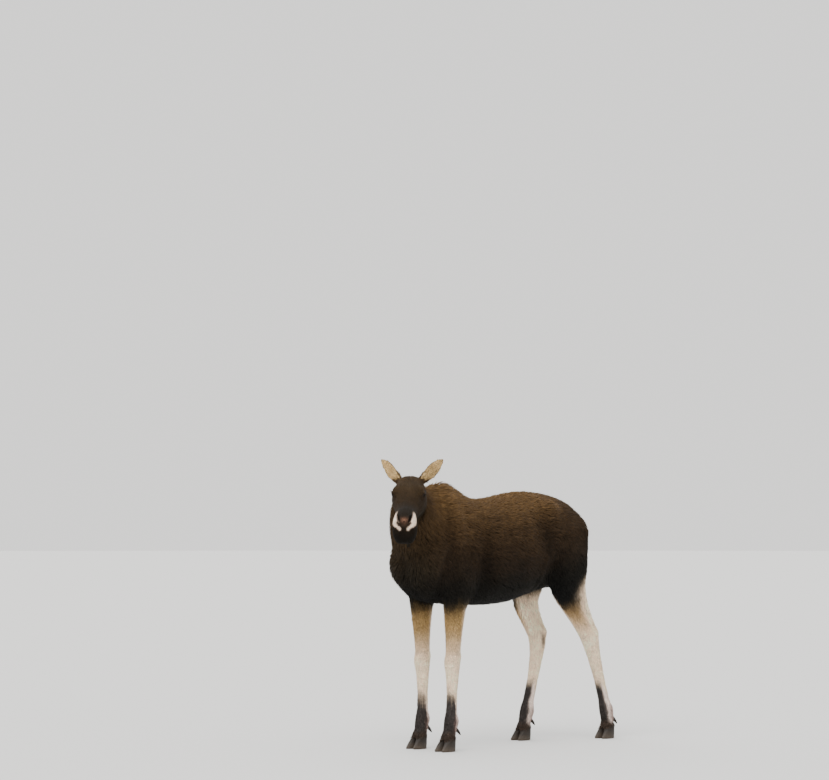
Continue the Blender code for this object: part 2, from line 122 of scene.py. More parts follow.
def smoothstep(low, high, value):
    t = np.clip((value - low) / (high - low), 0, 1)
    return t * t * (3 - 2 * t)


def lump(points, centre, reach):
    """A soft mask, 1 at the centre and falling off over the reach along each axis."""
    offset = (points - np.array(centre)) / np.array(reach)
    return np.exp(-(offset ** 2).sum(axis=1))


def mixed(values, other, mask):
    """The values where the mask is 0, blended into the other ones where it is 1."""
    mask = mask[:, None]
    return np.asarray(values) * (1 - mask) + np.asarray(other) * mask


def unit(vectors):
    return vectors / np.maximum(np.linalg.norm(vectors, axis=1), 1e-9)[:, None]


def soft_noise(points, size, seed):
    """Smooth noise from -1 to 1 whose lumps are about size across."""
    places = points / size + seed * 17.31
    cell = np.floor(places).astype(np.int64)
    t = places - cell
    t = t * t * (3 - 2 * t)
    total = np.zeros(len(points))
    for corner in np.ndindex(2, 2, 2):
        key = (cell + corner) @ np.array((73856093, 19349663, 83492791))
        key = ((key ^ (key >> 13)) * 1274126177) & 0x7FFFFFFF
        total += (key / 0x3FFFFFFF - 1) * np.where(corner, t, 1 - t).prod(axis=1)
    return total


def line_distance(points, line):
    """How far each point lies from a line of straight runs."""
    nearest = np.full(len(points), np.inf)
    for start, end in zip(line, line[1:]):
        start, run = np.array(start), np.array(end) - np.array(start)
        share = np.clip((points - start) @ run / (run @ run), 0, 1)
        gap = np.linalg.norm(points - start - share[:, None] * run, axis=1)
        nearest = np.minimum(nearest, gap)
    return nearest


class Surface:
    """A triangle mesh as arrays, with the nearest solid of every corner."""

    def __init__(self, mesh):
        self.measure(mesh)
        self.edges = read(mesh.edges, "vertices", 2, np.int32)
        self.parts = nearest_nodes(self.points)

    def measure(self, mesh):
        self.points = read(mesh.vertices, "co", 3, np.float32).astype(float)
        self.measure_normals(mesh)

    def measure_normals(self, mesh):
        self.normals = read(mesh.vertex_normals, "vector", 3, np.float32).astype(float)

    def raise_by(self, shift):
        """Moves every corner along its normal."""
        self.points += self.normals * shift[:, None]

    def is_part(self, *names):
        """1 where the nearest solid's name starts with one of the names, else 0."""
        wanted = [k for k, node in enumerate(NODE_NAMES) if node.startswith(names)]
        return np.isin(self.parts, wanted).astype(float)

    def eased(self, values, rounds):
        """The values after each corner has taken its neighbours' mean some times."""
        for _ in range(rounds):
            values = 0.5 * values + 0.5 * neighbour_mean(values, self.edges)
        return values


def read(items, field, width, kind):
    values = np.empty(len(items) * width, kind)
    items.foreach_get(field, values)
    return values.reshape(-1, width)


def neighbour_mean(values, edges):
    a, b = edges.T
    count = len(values)
    degree = np.bincount(a, minlength=count) + np.bincount(b, minlength=count)
    columns = values.reshape(count, -1)
    sums = [
        np.bincount(a, column[b], count) + np.bincount(b, column[a], count)
        for column in columns.T
    ]
    return (np.stack(sums, axis=1) / np.maximum(degree, 1)[:, None]).reshape(values.shape)


# ---------------------------------------------------------------- the whole body's surface

NODE_NAMES = list(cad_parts)
VOXEL = 4 * MM
CLOSING = 0.4 * MM
SKIN_TRIANGLES = 176_000


def node_geometry(name, grow=0.0):
    """A solid's corners, moved out by grow, and its triangles."""
    shape = bmesh.new()
    shape.from_mesh(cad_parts[name].data)
    bmesh.ops.remove_doubles(shape, verts=shape.verts, dist=1e-6)
    shape.normal_update()
    corners = [vert.co + vert.normal * grow for vert in shape.verts]
    faces = [[vert.index for vert in face.verts] for face in shape.faces]
    shape.free()
    return corners, faces


def joined_solids(grow):
    """All solids as one set of corners and faces, with the node of every face."""
    corners, faces, owners = [], [], []
    for number, name in enumerate(NODE_NAMES):
        these, their_faces = node_geometry(name, grow)
        faces += [[index + len(corners) for index in face] for face in their_faces]
        owners += [number] * len(their_faces)
        corners += these
    return corners, faces, owners


SOLID_CORNERS, SOLID_FACES, FACE_OWNERS = joined_solids(0.0)
SOLID_TREE = BVHTree.FromPolygons(SOLID_CORNERS, SOLID_FACES)


def nearest_nodes(points):
    found = [SOLID_TREE.find_nearest(point)[2] for point in points.tolist()]
    return np.array(FACE_OWNERS)[found]


def new_object(name, data):
    made = bpy.data.objects.new(name, data)
    bpy.context.scene.collection.objects.link(made)
    return made


def modify(thing, kind, **settings):
    """Adds a modifier with its settings and applies it."""
    modifier = thing.modifiers.new(kind, kind)
    for key, value in settings.items():
        setattr(modifier, key, value)
    graph = bpy.context.evaluated_depsgraph_get()
    mesh = bpy.data.meshes.new_from_object(thing.evaluated_get(graph))
    thing.modifiers.clear()
    thing.data = mesh


def weight_corners(thing, weights, levels):
    """Stores the weights, rounded to a number of levels, for a modifier to read."""
    group = thing.vertex_groups.new(name="weights")
    rounded = np.round(weights * levels).astype(int)
    for level in np.unique(rounded):
        group.add(np.flatnonzero(rounded == level).tolist(), level / levels, "REPLACE")
    return group.name


def grown_together():
    """One closed surface round all the solids, with their thin gaps closed."""
    corners, faces, _ = joined_solids(CLOSING)
    mesh = bpy.data.meshes.new("skin")
    mesh.from_pydata(corners, [], faces)
    body = new_object("skin", mesh)
    modify(body, "REMESH", mode="VOXEL", voxel_size=VOXEL)
    return body


# How much the facets are rounded, 1 for the most.
ROUNDING = {
    "trunk": 1.0, "neck": 0.9, "thigh": 0.5, "forearm": 0.45, "head": 0.10, "lower_jaw": 0.10,
    "dewlap": 0.12, "tail": 0.12, "shank": 0.07, "pastern": 0.05, "ear": 0.02, "eye": 0.05,
    "hoof": 0.02, "dewclaw": 0.02,
}
ROUNDING_STEPS = 90
ROUNDING_LEVELS, THINNING_LEVELS = 40, 10


def part_values(surface, table):
    """A number for each corner from its solid's kind."""
    by_node = [
        next(value for kind, value in table.items() if name.startswith(kind))
        for name in NODE_NAMES
    ]
    return np.array(by_node)[surface.parts]


def round_off(body, surface):
    """Rounds the facets of the solids, far more on the trunk than on the face and legs."""
    amount = surface.eased(part_values(surface, ROUNDING), 6)
    group = weight_corners(body, amount, ROUNDING_LEVELS)
    modify(body, "SMOOTH", factor=0.5, iterations=ROUNDING_STEPS, vertex_group=group)
    body.vertex_groups.clear()
    surface.measure(body.data)


# ---------------------------------------------------------------- forms under the coat


class Form(NamedTuple):
    """A muscle, bone or hollow on both sides: place from the withers, reach and height."""

    out: float
    back: float
    z: float
    reach: tuple
    height: float


BODY_FORMS = (
    Form(0.175, -0.230, 1.220, (0.09, 0.08, 0.11), 0.028),     # point of the shoulder
    Form(0.170, 0.000, 1.500, (0.08, 0.045, 0.22), 0.024),     # ridge of the shoulder blade
    Form(0.220, -0.100, 1.420, (0.08, 0.050, 0.16), -0.016),   # before the shoulder blade
    Form(0.230, 0.225, 1.250, (0.12, 0.065, 0.22), -0.036),    # hollow behind the shoulder
    Form(0.210, 0.060, 1.130, (0.09, 0.085, 0.11), 0.030),     # upper foreleg
    Form(0.190, 0.130, 1.030, (0.08, 0.050, 0.05), 0.018),     # elbow
    Form(0.000, -0.240, 1.150, (0.05, 0.120, 0.12), -0.016),   # groove of the breast
    Form(0.200, 0.800, 1.430, (0.10, 0.100, 0.12), -0.038),    # flank hollow
    Form(0.160, 0.930, 1.620, (0.07, 0.075, 0.06), 0.032),     # hip bone
    Form(0.240, 1.140, 1.270, (0.10, 0.120, 0.19), 0.032),     # thigh
    Form(0.220, 0.940, 1.120, (0.10, 0.070, 0.15), -0.034),    # fold before the stifle
    Form(0.160, 1.270, 1.480, (0.08, 0.060, 0.08), 0.022),     # pin bone
    Form(0.130, 1.330, 1.130, (0.12, 0.090, 0.09), -0.030),    # foot of the buttock
    Form(0.000, 0.300, 1.760, (0.05, 0.350, 0.06), 0.006),     # ridge of the back
)
FACE_FORMS = (
    Form(0.098, 0.168, -0.016, (0.050, 0.030, 0.018), 0.010),     # brow over the eye
    Form(0.090, 0.080, -0.030, (0.035, 0.030, 0.030), -0.010),    # temple
    Form(0.085, 0.120, -0.150, (0.060, 0.050, 0.060), 0.011),     # cheek
    Form(0.085, 0.232, -0.056, (0.030, 0.030, 0.020), -0.008),    # hollow before the eye
    Form(0.085, 0.190, -0.100, (0.060, 0.030, 0.012), 0.005),     # bone under the eye
    Form(0.074, 0.280, -0.098, (0.080, 0.030, 0.014), 0.006),     # ridge along the cheek
    Form(0.070, 0.350, -0.118, (0.070, 0.030, 0.018), -0.009),    # hollow above the lips
    Form(0.045, 0.500, -0.195, (0.035, 0.040, 0.025), 0.005),     # chin
    Form(0.050, 0.045, 0.010, (0.032, 0.026, 0.030), 0.008),      # knob beside the poll
    Form(0.000, 0.130, 0.010, (0.060, 0.030, 0.030), -0.004),     # dip in the forehead
    Form(0.045, 0.330, -0.010, (0.110, 0.018, 0.030), 0.004),     # edge of the nose bridge
)


def relief(points, forms, centre_of):
    """How far the forms raise or sink the surface at each place, on both sides."""
    shift = np.zeros(len(points))
    for form in forms:
        for _, side in SIDES:
            shift += form.height * lump(points, centre_of(form, side), form.reach)
    return shift


def body_relief(points):
    return relief(points, BODY_FORMS, lambda form, side: (
        MARK.middle + side * form.out, MARK.withers + form.back, form.z))


def sculpt_body(surface):
    """Lets muscles and bones show through as soft swellings and hollows."""
    shift = body_relief(surface.points)
    shift *= surface.is_part("trunk", "thigh", "forearm", "neck")
    surface.raise_by(surface.eased(shift, 12))


def sculpt_face(surface):
    """The same on the face, where places run along it, out to the side and up."""
    shift = relief(in_head(surface.points), FACE_FORMS, lambda form, side: (
        form.back, side * form.out, form.z))
    surface.raise_by(shift * surface.is_part("head", "lower_jaw"))


class LegPlace(NamedTuple):
    """Where a corner lies round its leg: -1 front to 1 back, and -1 outer to 1 inner."""

    rear: np.ndarray
    inner: np.ndarray


LEG_BIN, LEGS_BELOW = 0.02, 1.25
LEG_PIECES = ("forearm", "thigh", "shank", "pastern", "hoof", "dewclaw")


def leg_parts(leg):
    """The names of a leg's solids, or of both fore or both hind legs'."""
    return tuple(f"{kind}_{leg}" for kind in LEG_PIECES)


def leg_place(surface):
    """Places round each leg, from the middle of the leg at every height."""
    points = surface.points
    rear, inner = np.zeros(len(points)), np.zeros(len(points))
    for name in LEG_NAMES:
        outward = 1 if name.endswith("left") else -1
        own = surface.is_part(*leg_parts(name)) > 0
        own = np.flatnonzero(own & (points[:, 2] < LEGS_BELOW))
        level = (points[own, 2] / LEG_BIN).astype(int)
        for axis, target, sign in ((1, rear, 1), (0, inner, -outward)):
            low = np.full(level.max() + 1, np.inf)
            high = -low
            np.minimum.at(low, level, points[own, axis])
            np.maximum.at(high, level, points[own, axis])
            middle, half = (low + high) / 2, np.maximum((high - low) / 2, 0.01)
            target[own] = sign * (points[own, axis] - middle[level]) / half[level]
    return LegPlace(np.clip(rear, -1, 1), np.clip(inner, -1, 1))


class LegForm(NamedTuple):
    """A joint, tendon or hollow: height, place from front to back, on the sides or middle."""

    z: float
    z_reach: float
    rear: float
    rear_reach: float
    on_sides: bool
    height: float


FORE_FORMS = (
    LegForm(0.850, 0.090, -0.20, 0.80, True, 0.006),      # forearm muscles
    LegForm(0.580, 0.055, -0.90, 0.60, False, 0.007),     # front of the knee
    LegForm(0.620, 0.030, 0.95, 0.45, False, 0.008),      # knob behind the knee
    LegForm(0.400, 0.130, 0.35, 0.28, True, -0.0045),     # groove before the tendons
    LegForm(0.190, 0.035, 0.85, 0.50, False, 0.006),      # back of the fetlock
)
HIND_FORMS = (
    LegForm(0.860, 0.085, 0.42, 0.24, True, -0.013),      # hollow before the hamstring
    LegForm(0.740, 0.035, 1.00, 0.40, False, 0.010),      # point of the hock
    LegForm(0.700, 0.050, -0.20, 0.50, True, 0.005),      # sides of the hock
    LegForm(0.430, 0.130, 0.35, 0.28, True, -0.0045),     # groove before the tendons
    LegForm(0.190, 0.035, 0.85, 0.50, False, 0.006),      # back of the fetlock
)


def sculpt_legs(surface):
    """Gives the legs their joints, tendons and hollows."""
    place = leg_place(surface)
    shift = np.zeros(len(surface.points))
    sides = smoothstep(0.35, 0.75, np.abs(place.inner))
    for kind, forms in (("fore", FORE_FORMS), ("hind", HIND_FORMS)):
        own = surface.is_part(*leg_parts(kind))
        for form in forms:
            where = np.stack((surface.points[:, 2], place.rear), axis=1)
            mask = lump(where, (form.z, form.rear), (form.z_reach, form.rear_reach))
            shift += form.height * mask * own * (sides if form.on_sides else 1)
    surface.raise_by(surface.eased(shift, 4))


BELL_NARROWING = 0.62


def narrow_bell(surface):
    """Draws the bell in to a point at its lower end."""
    low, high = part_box("dewlap")
    middle = np.array((low[0] + high[0], low[1] + high[1])) / 2
    hang = smoothstep(high[2] - 0.40 * (high[2] - low[2]), low[2], surface.points[:, 2])
    hang = hang * surface.is_part("dewlap")
    aside = surface.points[:, :2] - middle
    surface.points[:, :2] -= aside * (BELL_NARROWING * hang)[:, None]


# Along the face, out to the side, and up.
NOSTRIL = ((0.562, 0.042, -0.014), (0.590, 0.038, -0.022), (0.607, 0.032, -0.031))
LIP_LINE = ((0.330, 0.060, -0.150), (0.440, 0.060, -0.143), (0.530, 0.060, -0.157),
            (0.600, 0.055, -0.178), (0.640, 0.020, -0.178))


class Ridge(NamedTuple):
    """A raised line: how far it stands off, how wide it is and how high."""

    off: float
    width: float
    height: float


NOSTRIL_RIM = Ridge(0.015, 0.006, 0.005)
MOUTH_GROOVE = Ridge(0.0, 0.0045, 0.011)
FULL_LIPS = Ridge(0.014, 0.008, 0.004)
NOSTRIL_DEPTH = 0.022


def along_line(gap, ridge):
    return np.exp(-((gap - ridge.off) / ridge.width) ** 2) * ridge.height


def folded(on_head):
    """Head places with both sides laid on the left one."""
    return np.stack((on_head[:, 0], np.abs(on_head[:, 1]), on_head[:, 2]), axis=1)


def sculpt_muzzle(surface):
    """Opens the nostrils and draws the mouth between the overhanging lip and the chin."""
    on_face = folded(in_head(surface.points))
    muzzle = surface.is_part("head", "lower_jaw")
    gap = line_distance(on_face, NOSTRIL)
    hole = smoothstep(0.0105, 0.003, gap) * NOSTRIL_DEPTH
    lips = line_distance(on_face * (1, 0, 1), np.array(LIP_LINE) * (1, 0, 1))
    aside = smoothstep(0.015, 0.035, on_face[:, 1]) * smoothstep(0.30, 0.36, on_face[:, 0])
    groove = along_line(lips, MOUTH_GROOVE) * aside
    full = along_line(lips, FULL_LIPS) * aside
    surface.raise_by((along_line(gap, NOSTRIL_RIM) + full - hole - groove) * muzzle)


LID_REACH = (0.0185, 0.0105)
LID_THICKNESS = 2.2 * MM


def eye_frame(side_name, side):
    """The eye's centre and its outward, along-lid and up-lid directions."""
    centre = np.array(node_centre("eye_" + side_name))
    out = from_head(0.25, side, 0.05).normalized()
    along = from_head(0.97, 0, -0.24)
    along = (along - out * along.dot(out)).normalized()
    up = along.cross(out) * side
    return centre, np.array(out), np.array(along), np.array(up)


def lid_reach(s, t):
    """1 on the edge of the lids, less in their opening and more beyond it."""
    return np.hypot(s / LID_REACH[0], t / LID_REACH[1])


def sculpt_lids(surface):
    """Draws the skin round each eyeball, with an almond opening between two lids."""
    for name, side in SIDES:
        centre, out, along, up = eye_frame(name, side)
        offset = surface.points - centre
        near = np.flatnonzero((offset ** 2).sum(axis=1) < 0.045 ** 2)
        offset = offset[near]
        front = offset @ out
        s, t = offset @ along, offset @ up
        reach = lid_reach(s, t)
        facing = (front > -0.004) & (reach < 2.6)
        scale = np.where(reach < 0.8, reach * 0.9 / 0.8, np.where(reach < 1.15, 1.0, reach))
        scale = scale / np.maximum(reach, 1e-6)
        inside = reach < 0.8
        radius = np.where(inside, EYE_RADIUS - 0.005, EYE_RADIUS + LID_THICKNESS)
        flat = np.hypot(s * scale, t * scale)
        depth = np.sqrt(np.maximum(radius ** 2 - np.minimum(flat, radius * 0.98) ** 2, 0))
        aim = centre + (s * scale)[:, None] * along + (t * scale)[:, None] * up
        aim = aim + depth[:, None] * out
        blend = smoothstep(2.6, 1.3, reach) * facing
        points = surface.points[near]
        surface.points[near] = points + (aim - points) * blend[:, None]


# ---------------------------------------------------------------- the coat's lie and length


class Coat(NamedTuple):
    """Depth out to the tips, tuft length and width, and how many tufts deep it lies."""

    depth: float
    length: float
    width: float
    cover: float


COATS = {
    "trunk": Coat(0.022, 0.056, 0.0069, 3.1),
    "neck": Coat(0.028, 0.072, 0.0072, 4.0),
    "head": Coat(0.0050, 0.018, 0.0037, 2.1),
    "lower_jaw": Coat(0.0070, 0.022, 0.0040, 2.0),
    "dewlap": Coat(0.0120, 0.080, 0.0080, 8.0),
    "tail": Coat(0.0120, 0.050, 0.0070, 5.0),
    "ear": Coat(0.0032, 0.017, 0.0030, 2.2),
    "thigh": Coat(0.0150, 0.042, 0.0068, 2.6),
    "forearm": Coat(0.0130, 0.036, 0.0062, 2.6),
    "shank": Coat(0.0050, 0.018, 0.0034, 1.2),
    "pastern": Coat(0.0055, 0.022, 0.0038, 1.8),
    "eye": Coat(0.0040, 0.006, 0.0020, 0.0),
    "hoof": Coat(0.0060, 0.010, 0.0030, 0.0),
    "dewclaw": Coat(0.0045, 0.010, 0.0030, 0.0),
}
LIE_STEPS = 14


def coat_value(surface, field, rounds):
    table = {kind: getattr(coat, field) for kind, coat in COATS.items()}
    return surface.eased(part_values(surface, table), rounds)


def mane(points):
    """1 on the long hair of the hump and the crest of the neck."""
    centre = (MARK.middle, MARK.withers - 0.02, MARK.top - 0.03)
    return lump(points, centre, (0.16, 0.26, 0.17))


def low_on_leg(points):
    """0 on the body and 1 on the short-haired part of the legs."""
    return smoothstep(0.92, 0.66, points[:, 2])


def on_muzzle(points):
    """0 on the forehead and 1 on the short-haired muzzle."""
    return smoothstep(0.34, 0.56, in_head(points)[:, 0])


def coat_depth(surface, rounds):
    depth = coat_value(surface, "depth", rounds)
    depth = depth + 0.012 * mane(surface.points) * surface.is_part("trunk", "neck")
    legs = low_on_leg(surface.points) * surface.is_part("thigh", "forearm")
    depth = depth * (1 - 0.62 * legs)
    face = on_muzzle(surface.points) * surface.is_part("head", "lower_jaw")
    return depth * (1 - 0.5 * face)


def pull_in(surface):
    """Moves the skin inside the solids by the coat's depth."""
    depth = surface.eased(coat_depth(surface, 8), 8)
    surface.points -= surface.normals * depth[:, None]


def thin_out(body, surface):
    """Spends the triangles where the form is fine, and fewer on smooth places."""
    on_face = in_head(surface.points)
    fine = np.maximum.reduce([
        lump(on_face, (EYE_ALONG, side * 0.09, EYE_UP), (0.045, 0.03, 0.035)) for _, side in SIDES
    ] + [lump(folded(on_face), (0.600, 0.035, -0.030), (0.05, 0.03, 0.03))])
    group = weight_corners(body, 1 - fine, THINNING_LEVELS)
    modify(body, "DECIMATE", ratio=SKIN_TRIANGLES / (2 * len(body.data.polygons)),
           use_collapse_triangulate=True, vertex_group=group)
    body.vertex_groups.clear()


def store_points(body, surface):
    """Moves the body's corners to the surface's, and measures the normals again."""
    body.data.vertices.foreach_set("co", surface.points.astype(np.float32).ravel())
    body.data.update()
    surface.measure_normals(body.data)


def keep_largest(body):
    """Drops the small closed bubbles that the gaps between solids leave inside."""
    shape = bmesh.new()
    shape.from_mesh(body.data)
    shape.verts.ensure_lookup_table()
    start = max(shape.verts, key=lambda vert: vert.co.z)
    reached, todo = {start}, [start]
    while todo:
        vert = todo.pop()
        for edge in vert.link_edges:
            other = edge.other_vert(vert)
            if other not in reached:
                reached.add(other)
                todo.append(other)
    stray = [vert for vert in shape.verts if vert not in reached]
    bmesh.ops.delete(shape, geom=stray, context="VERTS")
    shape.to_mesh(body.data)
    shape.free()


def grow_skin():
    body = grown_together()
    surface = Surface(body.data)
    round_off(body, surface)
    sculpt_body(surface)
    sculpt_legs(surface)
    store_points(body, surface)
    pull_in(surface)
    narrow_bell(surface)
    store_points(body, surface)
    sculpt_face(surface)
    sculpt_muzzle(surface)
    sculpt_lids(surface)
    store_points(body, surface)
    thin_out(body, surface)
    keep_largest(body)
    body.data.shade_smooth()
    return body, Surface(body.data)


# ---------------------------------------------------------------- markings


def linear(code):
    """An sRGB hex value as linear light."""
    share = np.array([int(code[k:k + 2], 16) / 255 for k in (0, 2, 4)])
    return np.where(share <= 0.04045, share / 12.92, ((share + 0.055) / 1.055) ** 2.4)


BACK_AND_TOP_LIGHT, UPPER_FLANK, MID_FLANK = linear("695032"), linear("443320"), linear("2e2318")
LOWER_FLANK_AND_SHADE, BELLY = linear("181612"), linear("121211")
NECK, THROAT = linear("40301d"), linear("28231a")
FACE, BROW, MUZZLE_TOP = linear("2b1f11"), linear("382b1b"), linear("1d160e")
MUZZLE_PALE, NOSE_PAD, BARE_DARK = linear("fbe0ca"), linear("815d4a"), linear("0f0d0b")
EAR_BACK, EAR_INSIDE = linear("6e5b40"), linear("d0b07c")
LEG_WHITE, LEG_TAN, LEG_BROWN = linear("fbe1c4"), linear("b8976a"), linear("b0905f")
CANNON_DARK, CANNON_PALE = linear("3b3634"), linear("f3dfd4")
FETLOCK, CORONET = linear("8c7068"), linear("3f342d")
TARSAL_DARK = linear("3c2d22")


def height_ramp(points, stops):
    """Colours by height, blended between the stops (height, colour)."""
    heights = [height for height, _ in stops]
    colours = np.array([colour for _, colour in stops])
    return np.stack(
        [np.interp(points[:, 2], heights, colours[:, k]) for k in range(3)], axis=1,
    )


# Partly the coat's own bands and partly painted light: the back band is lightened as painted light
# from above, and the lower flank band is darkened as painted shade.
BODY_AND_LIGHT_BANDS = (
    (0.96, BELLY), (1.10, LOWER_FLANK_AND_SHADE), (1.28, MID_FLANK), (1.48, UPPER_FLANK), (1.70, BACK_AND_TOP_LIGHT),
)
NECK_BANDS = ((1.05, BELLY), (1.22, THROAT), (1.50, NECK), (1.78, UPPER_FLANK))
# Painted light and shade: the coat is lightened over swellings of muscle and bone and darkened in
# the hollows, so that the forms read.
RELIEF_SHADING, MOST_RELIEF = 13.0, 0.04
TAIL_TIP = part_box("tail")[1][0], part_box("tail")[1][1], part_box("tail")[0][2]


def body_colour(points):
    """Brown coat by height, partly painted light: pale tips along the back, lightened further as
    painted light from above; brown flanks, darker low down partly as painted shade; a darker rump
    and a nearly black belly; and the coat lighter over swellings and darker in hollows as painted
    light and shade.
    """
    behind = smoothstep(MARK.withers + 0.62, MARK.withers + 1.25, points[:, 1])
    ragged = points.copy()
    ragged[:, 2] += 0.030 * soft_noise(points, 0.16, 1) + 0.012 * soft_noise(points, 0.04, 2)
    ragged[:, 2] -= 0.17 * behind
    colour = height_ramp(ragged, BODY_AND_LIGHT_BANDS)
    ahead = smoothstep(MARK.withers - 0.16, MARK.withers - 0.36, points[:, 1])
    groin = lump(points, (MARK.middle, MARK.withers + 1.15, 1.00), (0.10, 0.17, 0.09))
    colour = mixed(colour, LEG_WHITE, smoothstep(0.25, 0.75, groin))
    under_tail = lump(ragged, (MARK.middle, TAIL_TIP[1], TAIL_TIP[2] - 0.15), (0.040, 0.12, 0.070))
    colour = mixed(colour, LEG_WHITE, 0.55 * smoothstep(0.30, 0.75, under_tail))
    colour = mixed(colour, height_ramp(ragged, NECK_BANDS), ahead)
    # Painted light and shade: lighter over the raised forms, darker in the hollows.
    painted_relief = np.clip(body_relief(points), -MOST_RELIEF, MOST_RELIEF)
    return colour * (1 + RELIEF_SHADING * painted_relief)[:, None]


# Along the face, out to the side, and up: the pale bands outside the nostrils.
PALE_NOSE = ((0.500, 0.070, -0.022), (0.550, 0.065, -0.032), (0.590, 0.058, -0.041),
             (0.616, 0.044, -0.052), (0.634, 0.024, -0.064))
PALE_WIDTH = 0.0195
PAD_CENTRE, PAD_REACH = (0.606, 0, -0.022), (0.020, 0.022, 0.030)
LIP_CLEFT = ((0.615, 0, -0.030), (0.652, 0, -0.110))


def nape(on_head):
    """1 at the back of the head, where its short hair gives way to the long coat of the neck."""
    return smoothstep(0.130, 0.010, on_head[:, 0])


def head_colour(points):
    """A brown face, pale crescents outside the nostrils, a small bare pad between, and painted
    shade under the overhanging lip.
    """
    place = in_head(points)
    both = folded(place)
    ragged = 0.010 * soft_noise(points, 0.03, 4)
    top = smoothstep(-0.075, -0.020, place[:, 2] + ragged)
    colour = mixed(FACE, BROW, top * smoothstep(0.40, 0.16, place[:, 0]))
    colour = mixed(colour, MUZZLE_TOP, smoothstep(0.30, 0.48, place[:, 0]))
    under = smoothstep(-0.110, -0.180, place[:, 2] + ragged)
    colour = mixed(colour, THROAT, under)
    # Painted shade under the overhanging lip and on the chin: the lower front of the muzzle is
    # darkened towards BARE_DARK.
    lower = smoothstep(-0.085, -0.125, place[:, 2] + ragged) * smoothstep(0.40, 0.52, place[:, 0])
    colour = mixed(colour, BARE_DARK, 0.7 * lower)
    width = PALE_WIDTH * (1 - 0.35 * smoothstep(0.590, 0.640, place[:, 0]))
    pale = smoothstep(0.003, -0.003, line_distance(both, PALE_NOSE) - width + 0.3 * ragged)
    pale = pale * smoothstep(0.008, 0.015, both[:, 1])
    colour = mixed(colour, MUZZLE_PALE, pale)
    colour = mixed(colour, NOSE_PAD, 0.75 * lump(both, PAD_CENTRE, PAD_REACH))
    colour = mixed(colour, body_colour(points), nape(place + 3 * ragged[:, None]))
    split = smoothstep(0.007, 0.003, line_distance(both, LIP_CLEFT))
    return mixed(colour, BARE_DARK, np.maximum(split, bare_skin(points)))


def bare_skin(points):
    """1 on the dark hairless skin inside the nostrils and along the lids and lips."""
    both = folded(in_head(points))
    nostril = smoothstep(0.0125, 0.0095, line_distance(both, NOSTRIL))
    line = line_distance(both * (1, 0, 1), np.array(LIP_LINE) * (1, 0, 1))
    bare = smoothstep(0.006, 0.003, line) * smoothstep(0.33, 0.38, both[:, 0])
    bare = np.maximum(nostril, bare)
    for name, side in SIDES:
        centre, out, along, up = eye_frame(name, side)
        offset = points - centre
        lid = smoothstep(1.45, 1.15, lid_reach(offset @ along, offset @ up))
        lid = lid * ((offset @ out) > 0)
        bare = np.maximum(bare, lid * ((offset ** 2).sum(axis=1) < 0.03 ** 2))
    return bare


def ear_corners(name):
    """The corners of an ear's solid, and how far each lies from the poll."""
    corners = np.array(node_geometry("ear_" + name)[0])
    return corners, np.linalg.norm(corners - np.array(MARK.poll), axis=1)


def ear_axis(name):
    """From an ear's root towards its tip."""
    corners, reach = ear_corners(name)
    return unit((corners[reach.argmax()] - corners.mean(axis=0))[None])[0]


def ear_root(name):
    """Where an ear grows from the head."""
    corners, reach = ear_corners(name)
    return corners[reach < np.quantile(reach, 0.15)].mean(axis=0)


def ear_opens(side):
    """The way that the hollow of an ear faces."""
    along, across, up = EAR_OPENS
    return np.array(from_head(along, across * side, up).normalized())


def inside_ear(surface, low=0.0, high=0.35):
    """1 on the hollow side of each ear."""
    inside = np.zeros(len(surface.points))
    for name, side in SIDES:
        own = surface.is_part("ear_" + name)
        inside = np.maximum(
            inside, own * smoothstep(low, high, surface.normals @ ear_opens(side)))
    return inside


def by_ear_opening(surface):
    """1 on the pale hair in the opening of each ear, down to its root."""
    pale = np.zeros(len(surface.points))
    for name, side in SIDES:
        opens = ear_opens(side)
        root = ear_root(name) + 0.008 * opens
        gap = line_distance(surface.points, (root, root + 0.10 * ear_axis(name)))
        facing = smoothstep(0.05, 0.40, surface.normals @ opens)
        pale = np.maximum(pale, smoothstep(0.050, 0.034, gap) * facing)
    return pale * surface.is_part("ear", "head")


class LegMarks(NamedTuple):
    """Heights and places round the leg where one colour gives way to the next."""

    white_up_to: float
    rear_rise: float
    rear_bend: float
    inner_rise: float
    tan_from: float
    tan_to: float
    dark_from: float
    pale_rear: float


FORE_MARKS = LegMarks(0.92, 0.02, 1.0, 0.02, 0.66, 0.30, 0.40, 0.10)
HIND_MARKS = LegMarks(0.92, 0.16, 2.2, 0.11, 0.78, 0.10, 0.42, -0.50)
# The scent gland on the inner side of the hock: inwards, up and back round the leg.
GLAND, GLAND_REACH = (0.9, 0.705, 0.15), (0.75, 0.055, 0.40)


